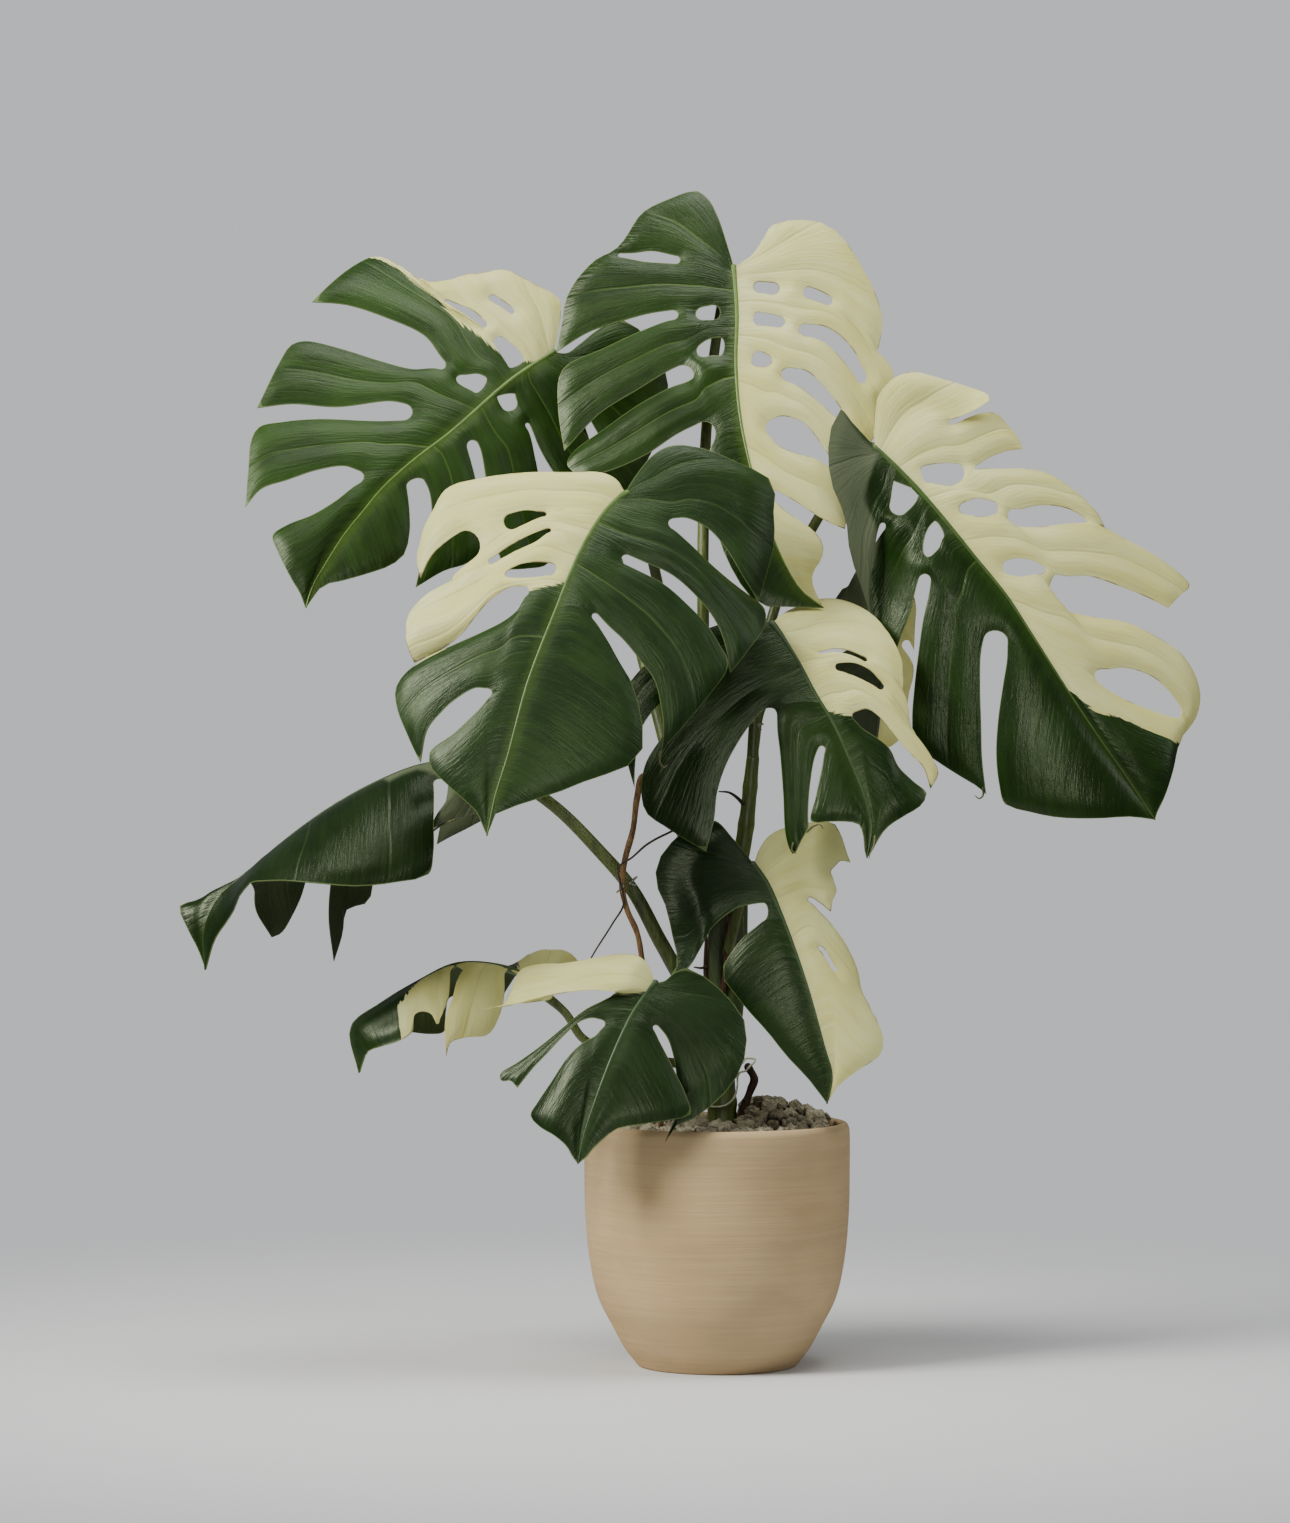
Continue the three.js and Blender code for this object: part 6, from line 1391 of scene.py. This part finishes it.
def leaf_skin(name, deep, light, rib, gloss, under=False):
    """Glossy green that gives way to cream in its sectors, along jagged borders with green flecks.

    Light comes through the cream, and inside its dull patches it is painted a dull grey-green and made
    rougher.
    """
    material, place = finish(name, Specular_IOR_Level=0.32, Specular_Tint=(0.9, 1.0, 0.7, 1))
    blade = BladeMarks(place)
    border = blade.cream + (blade.jag - 0.5) * JAGS
    share = border.fade(-0.3, 0.3)
    tone = share.blend(green_flesh(blade, deep, light, rib), cream_flesh(blade))
    flecks = blade.fleck.fade(0.66, 0.7) * (1 - border.fade(6.0, 16.0)) * share
    tone = (flecks * 0.7).blend(tone, light)
    if under:
        tone = ((1 - share) * 0.4).blend(tone, (0.06, 0.08, 0.03))
    # Dull patches: painted a dull grey-green and made rougher inside the outlines given for the leaf.
    matt = blade.turned.fade(-3.0, 3.0)
    tone = matt.blend(tone, (0.085, 0.105, 0.055))
    groove = blade.vein.fade(0.0, 2.6) * 0.35
    ripple = (blade.fine - 0.5) * 0.5 + (blade.broad - 0.5) * 0.5 + (blade.crinkle - 0.5) * 0.36
    dress(material, colour=tone, roughness=gloss + blade.patches * 0.14 + blade.fine * 0.1 + matt * 0.25,
          relief=groove + ripple)
    tree = material.node_tree
    skin = Pattern(tree.nodes["Principled BSDF"].outputs[0])
    glow = place.node("ShaderNodeBsdfTranslucent", {"Color": (0.84, 0.81, 0.46, 1)})
    both = place.node("ShaderNodeMixShader", {0: share * GLOW, 1: skin, 2: glow})
    tree.links.new(both.socket, tree.nodes["Material Output"].inputs["Surface"])
    return material


def rib_skin(name, colour):
    """The midrib: smooth and lighter than the blade, with fine lines along it."""
    material, place = finish(name, Roughness=0.4, Specular_IOR_Level=0.45)
    lines = place.clouds(120.0, detail=3.0)
    tone = lines.fade(0.35, 0.65).blend(colour, tuple(1.25 * part for part in colour))
    return dress(material, colour=tone, relief=lines, depth=0.2)


tip_skin = bark("tip_skin", (0.035, 0.035, 0.012), (0.14, 0.15, 0.05), 0.5)
stalk_green = green_stalk("stalk_green", (0.05, 0.075, 0.012), (0.13, 0.165, 0.03))
for name, leaf in LEAVES.items():
    deep, light, rib, gloss = GREENS[name]
    parts = leaf_parts(leaf, CREAM.get(name, {}), DULL_PATCHES.get(name, {}), TIPS.get(name, []))
    grown = built(name + "_grown", parts, [
        leaf_skin(name + "_upper", deep, light, rib, gloss),
        leaf_skin(name + "_under", deep, light, rib, gloss + UNDER_MATT, under=True),
        rib_skin(name + "_rib", rib), stalk_green, tip_skin])
    mounted(grown, name, name)


# Aerial roots: a thick brown one leaves the stem, arches over and drops down into the gravel behind
# the lowest stalks, and a thin dark one dangles beside it. Both are a little knotty.
KNOTS = dict(size=0.12, pitch=14)
ROOTS = {
    "aerial_root_thick": dict(
        slot="thick_root", thick=(3.4, 2.6), foot=482, sides=16,
        skin=("thick_root_bark", (0.1, 0.045, 0.014), (0.36, 0.21, 0.08), 0.6),
        way=[(-18, 500, -28), (-42, 540, -20), (-62, 582, -18), (-74, 588, -22), (-80, 566, -28),
             (-84, 535, -36), (-92, 505, -46), (-95, 480, -46), (-90, 455, -42), (-80, 432, -40),
             (-75, 405, -40), (-70, 360, -36), (-62, 300, -30), (-57, 262, -28), (-56, 240, -28)]),
    "aerial_root_thin": dict(
        slot="thin_root", thick=(1.4, 0.8), foot=500, sides=10,
        skin=("thin_root_bark", (0.02, 0.014, 0.01), (0.09, 0.07, 0.05)),
        way=[(-10, 528, -30), (-35, 536, -34), (-52, 530, -38), (-70, 520, -46), (-85, 507, -57),
             (-98, 497, -60), (-93, 462, -59), (-105, 440, -50), (-125, 408, -44), (-132, 392, -40)]),
}
for name, root in ROOTS.items():
    way = rounded([on_stem(root["foot"]), *seen(root["way"])], steps=10)
    knots = np.array([1 + KNOTS["size"] * noise.noise(Vector(point) / KNOTS["pitch"]) for point in way])
    radii = np.linspace(*root["thick"], len(way)) * knots
    grown = built(name + "_grown", [tube(way, radii, root["sides"])], [bark(*root["skin"])])
    mounted(grown, name, root["slot"])


# Ties: two short pieces of thin grey-green wire. Each is wound once round a stalk, one just above
# the stem's top and one low at the left, and its two ends are bent clear of it.
WIRE_RADIUS = 0.8
WIRE_LOOP = dict(steps=12, start=0.25, rise=2)
WIRE_ENDS = np.array([(0.3, -0.15, -0.5), (-0.3, -0.2, 1)])
TIES = {
    "tie_upper": dict(centre=(38.4, 4.6, 641), loop=(8, 8), tilt=0, ends=12),
    "tie_left": dict(centre=(-90, -37.5, 481), loop=(12.5, 14), tilt=-0.7, ends=12),
}


def tie_way(tie):
    """The wire's way: in from its lower end, round the stalk, and out at its upper end."""
    across, deep = tie["loop"]
    loop = []
    for k in range(WIRE_LOOP["steps"] + 1):
        part = k / WIRE_LOOP["steps"]
        turn = -math.pi / 2 + WIRE_LOOP["start"] + 2 * part * (math.pi - WIRE_LOOP["start"])
        loop.append((across * math.cos(turn), deep * math.sin(turn), WIRE_LOOP["rise"] * (part - 0.5)))
    ends = [(loop[0][0], -deep, 0), (0, -deep, 0)] + tie["ends"] * WIRE_ENDS
    way = [ends[0], *loop, ends[1]]
    cos, sin = math.cos(tie["tilt"]), math.sin(tie["tilt"])
    middle = np.array(tie["centre"])
    return [middle + (x * cos + z * sin, y, z * cos - x * sin) for x, y, z in way]


wire = twine("wire_green", (0.12, 0.13, 0.08), (0.34, 0.35, 0.25))
for name, tie in TIES.items():
    wound = built(name + "_wound", [tube(rounded(tie_way(tie), steps=6), WIRE_RADIUS, sides=10)], [wire])
    mounted(wound, name, "tie_wire")


# Studio: a plain pale floor under the pot that fades into a pale background, soft light from above
# and both sides, a small light in front that shows in the gloss alone, and a camera straight in
# front of the plant, as high as its middle.
FLOOR_RADIUS = 1.6
PLANT_MIDDLE = Vector((0, 0, 0.7))
LENS = 106.37
BACKGROUND = dict(colour=(0.72, 0.73, 0.75, 1), seen=0.85, lit=0.24)
LIGHTS = [
    dict(size=1.5, place=(-2.9, -1.9, 3.0), energy=255, colour=(1.0, 0.985, 0.955), glint=False),
    dict(size=1.5, place=(3.0, -1.2, 2.2), energy=24, colour=(0.93, 0.96, 1.0), glint=False),
    dict(size=2.0, place=(0.2, -0.5, 3.9), energy=90, colour=(0.98, 0.99, 1.0), glint=False),
    dict(size=0.7, place=(0.3, -4.8, 1.3), energy=45, colour=(1.0, 0.99, 0.97), glint=True),
]


def pale_floor():
    """Smooth, matt and nearly white, with a hint of cloudiness. It fades out far from the pot."""
    material, place = finish("studio_floor", Roughness=0.9, Specular_IOR_Level=0.2)
    away = place.node("ShaderNodeVectorMath", {0: place}, output="Value", operation="LENGTH")
    return dress(material, colour=place.clouds(2.0).blend((0.66, 0.66, 0.65), (0.7, 0.7, 0.695)),
                 alpha=1 - away.fade(0.3, 1.5))


bpy.ops.mesh.primitive_circle_add(vertices=96, radius=FLOOR_RADIUS, fill_type="NGON", location=(0, 0, 0))
floor = bpy.context.object
floor.name = "studio_floor"
floor.data.materials.append(pale_floor())

world = bpy.data.worlds.new("studio")
world.use_nodes = True
sky = world.node_tree
backdrop = sky.nodes["Background"]
backdrop.inputs["Color"].default_value = BACKGROUND["colour"]
looked_at = sky.nodes.new("ShaderNodeLightPath")
strength = sky.nodes.new("ShaderNodeMapRange")
strength.inputs["To Min"].default_value = BACKGROUND["lit"]
strength.inputs["To Max"].default_value = BACKGROUND["seen"]
sky.links.new(looked_at.outputs["Is Camera Ray"], strength.inputs["Value"])
sky.links.new(strength.outputs["Result"], backdrop.inputs["Strength"])
bpy.context.scene.world = world
for light in LIGHTS:
    aim = PLANT_MIDDLE - Vector(light["place"])
    bpy.ops.object.light_add(type="AREA", location=light["place"],
                             rotation=aim.to_track_quat("-Z", "Y").to_euler())
    bpy.context.object.visible_diffuse = not light["glint"]
    lamp = bpy.context.object.data
    lamp.size = light["size"]
    lamp.energy = light["energy"]
    lamp.color = light["colour"]

bpy.ops.object.camera_add(location=[part * MM for part in EYE], rotation=(math.pi / 2, 0, 0))
camera = bpy.context.object
camera.data.lens = LENS
camera.data.clip_end = 100
bpy.context.scene.camera = camera
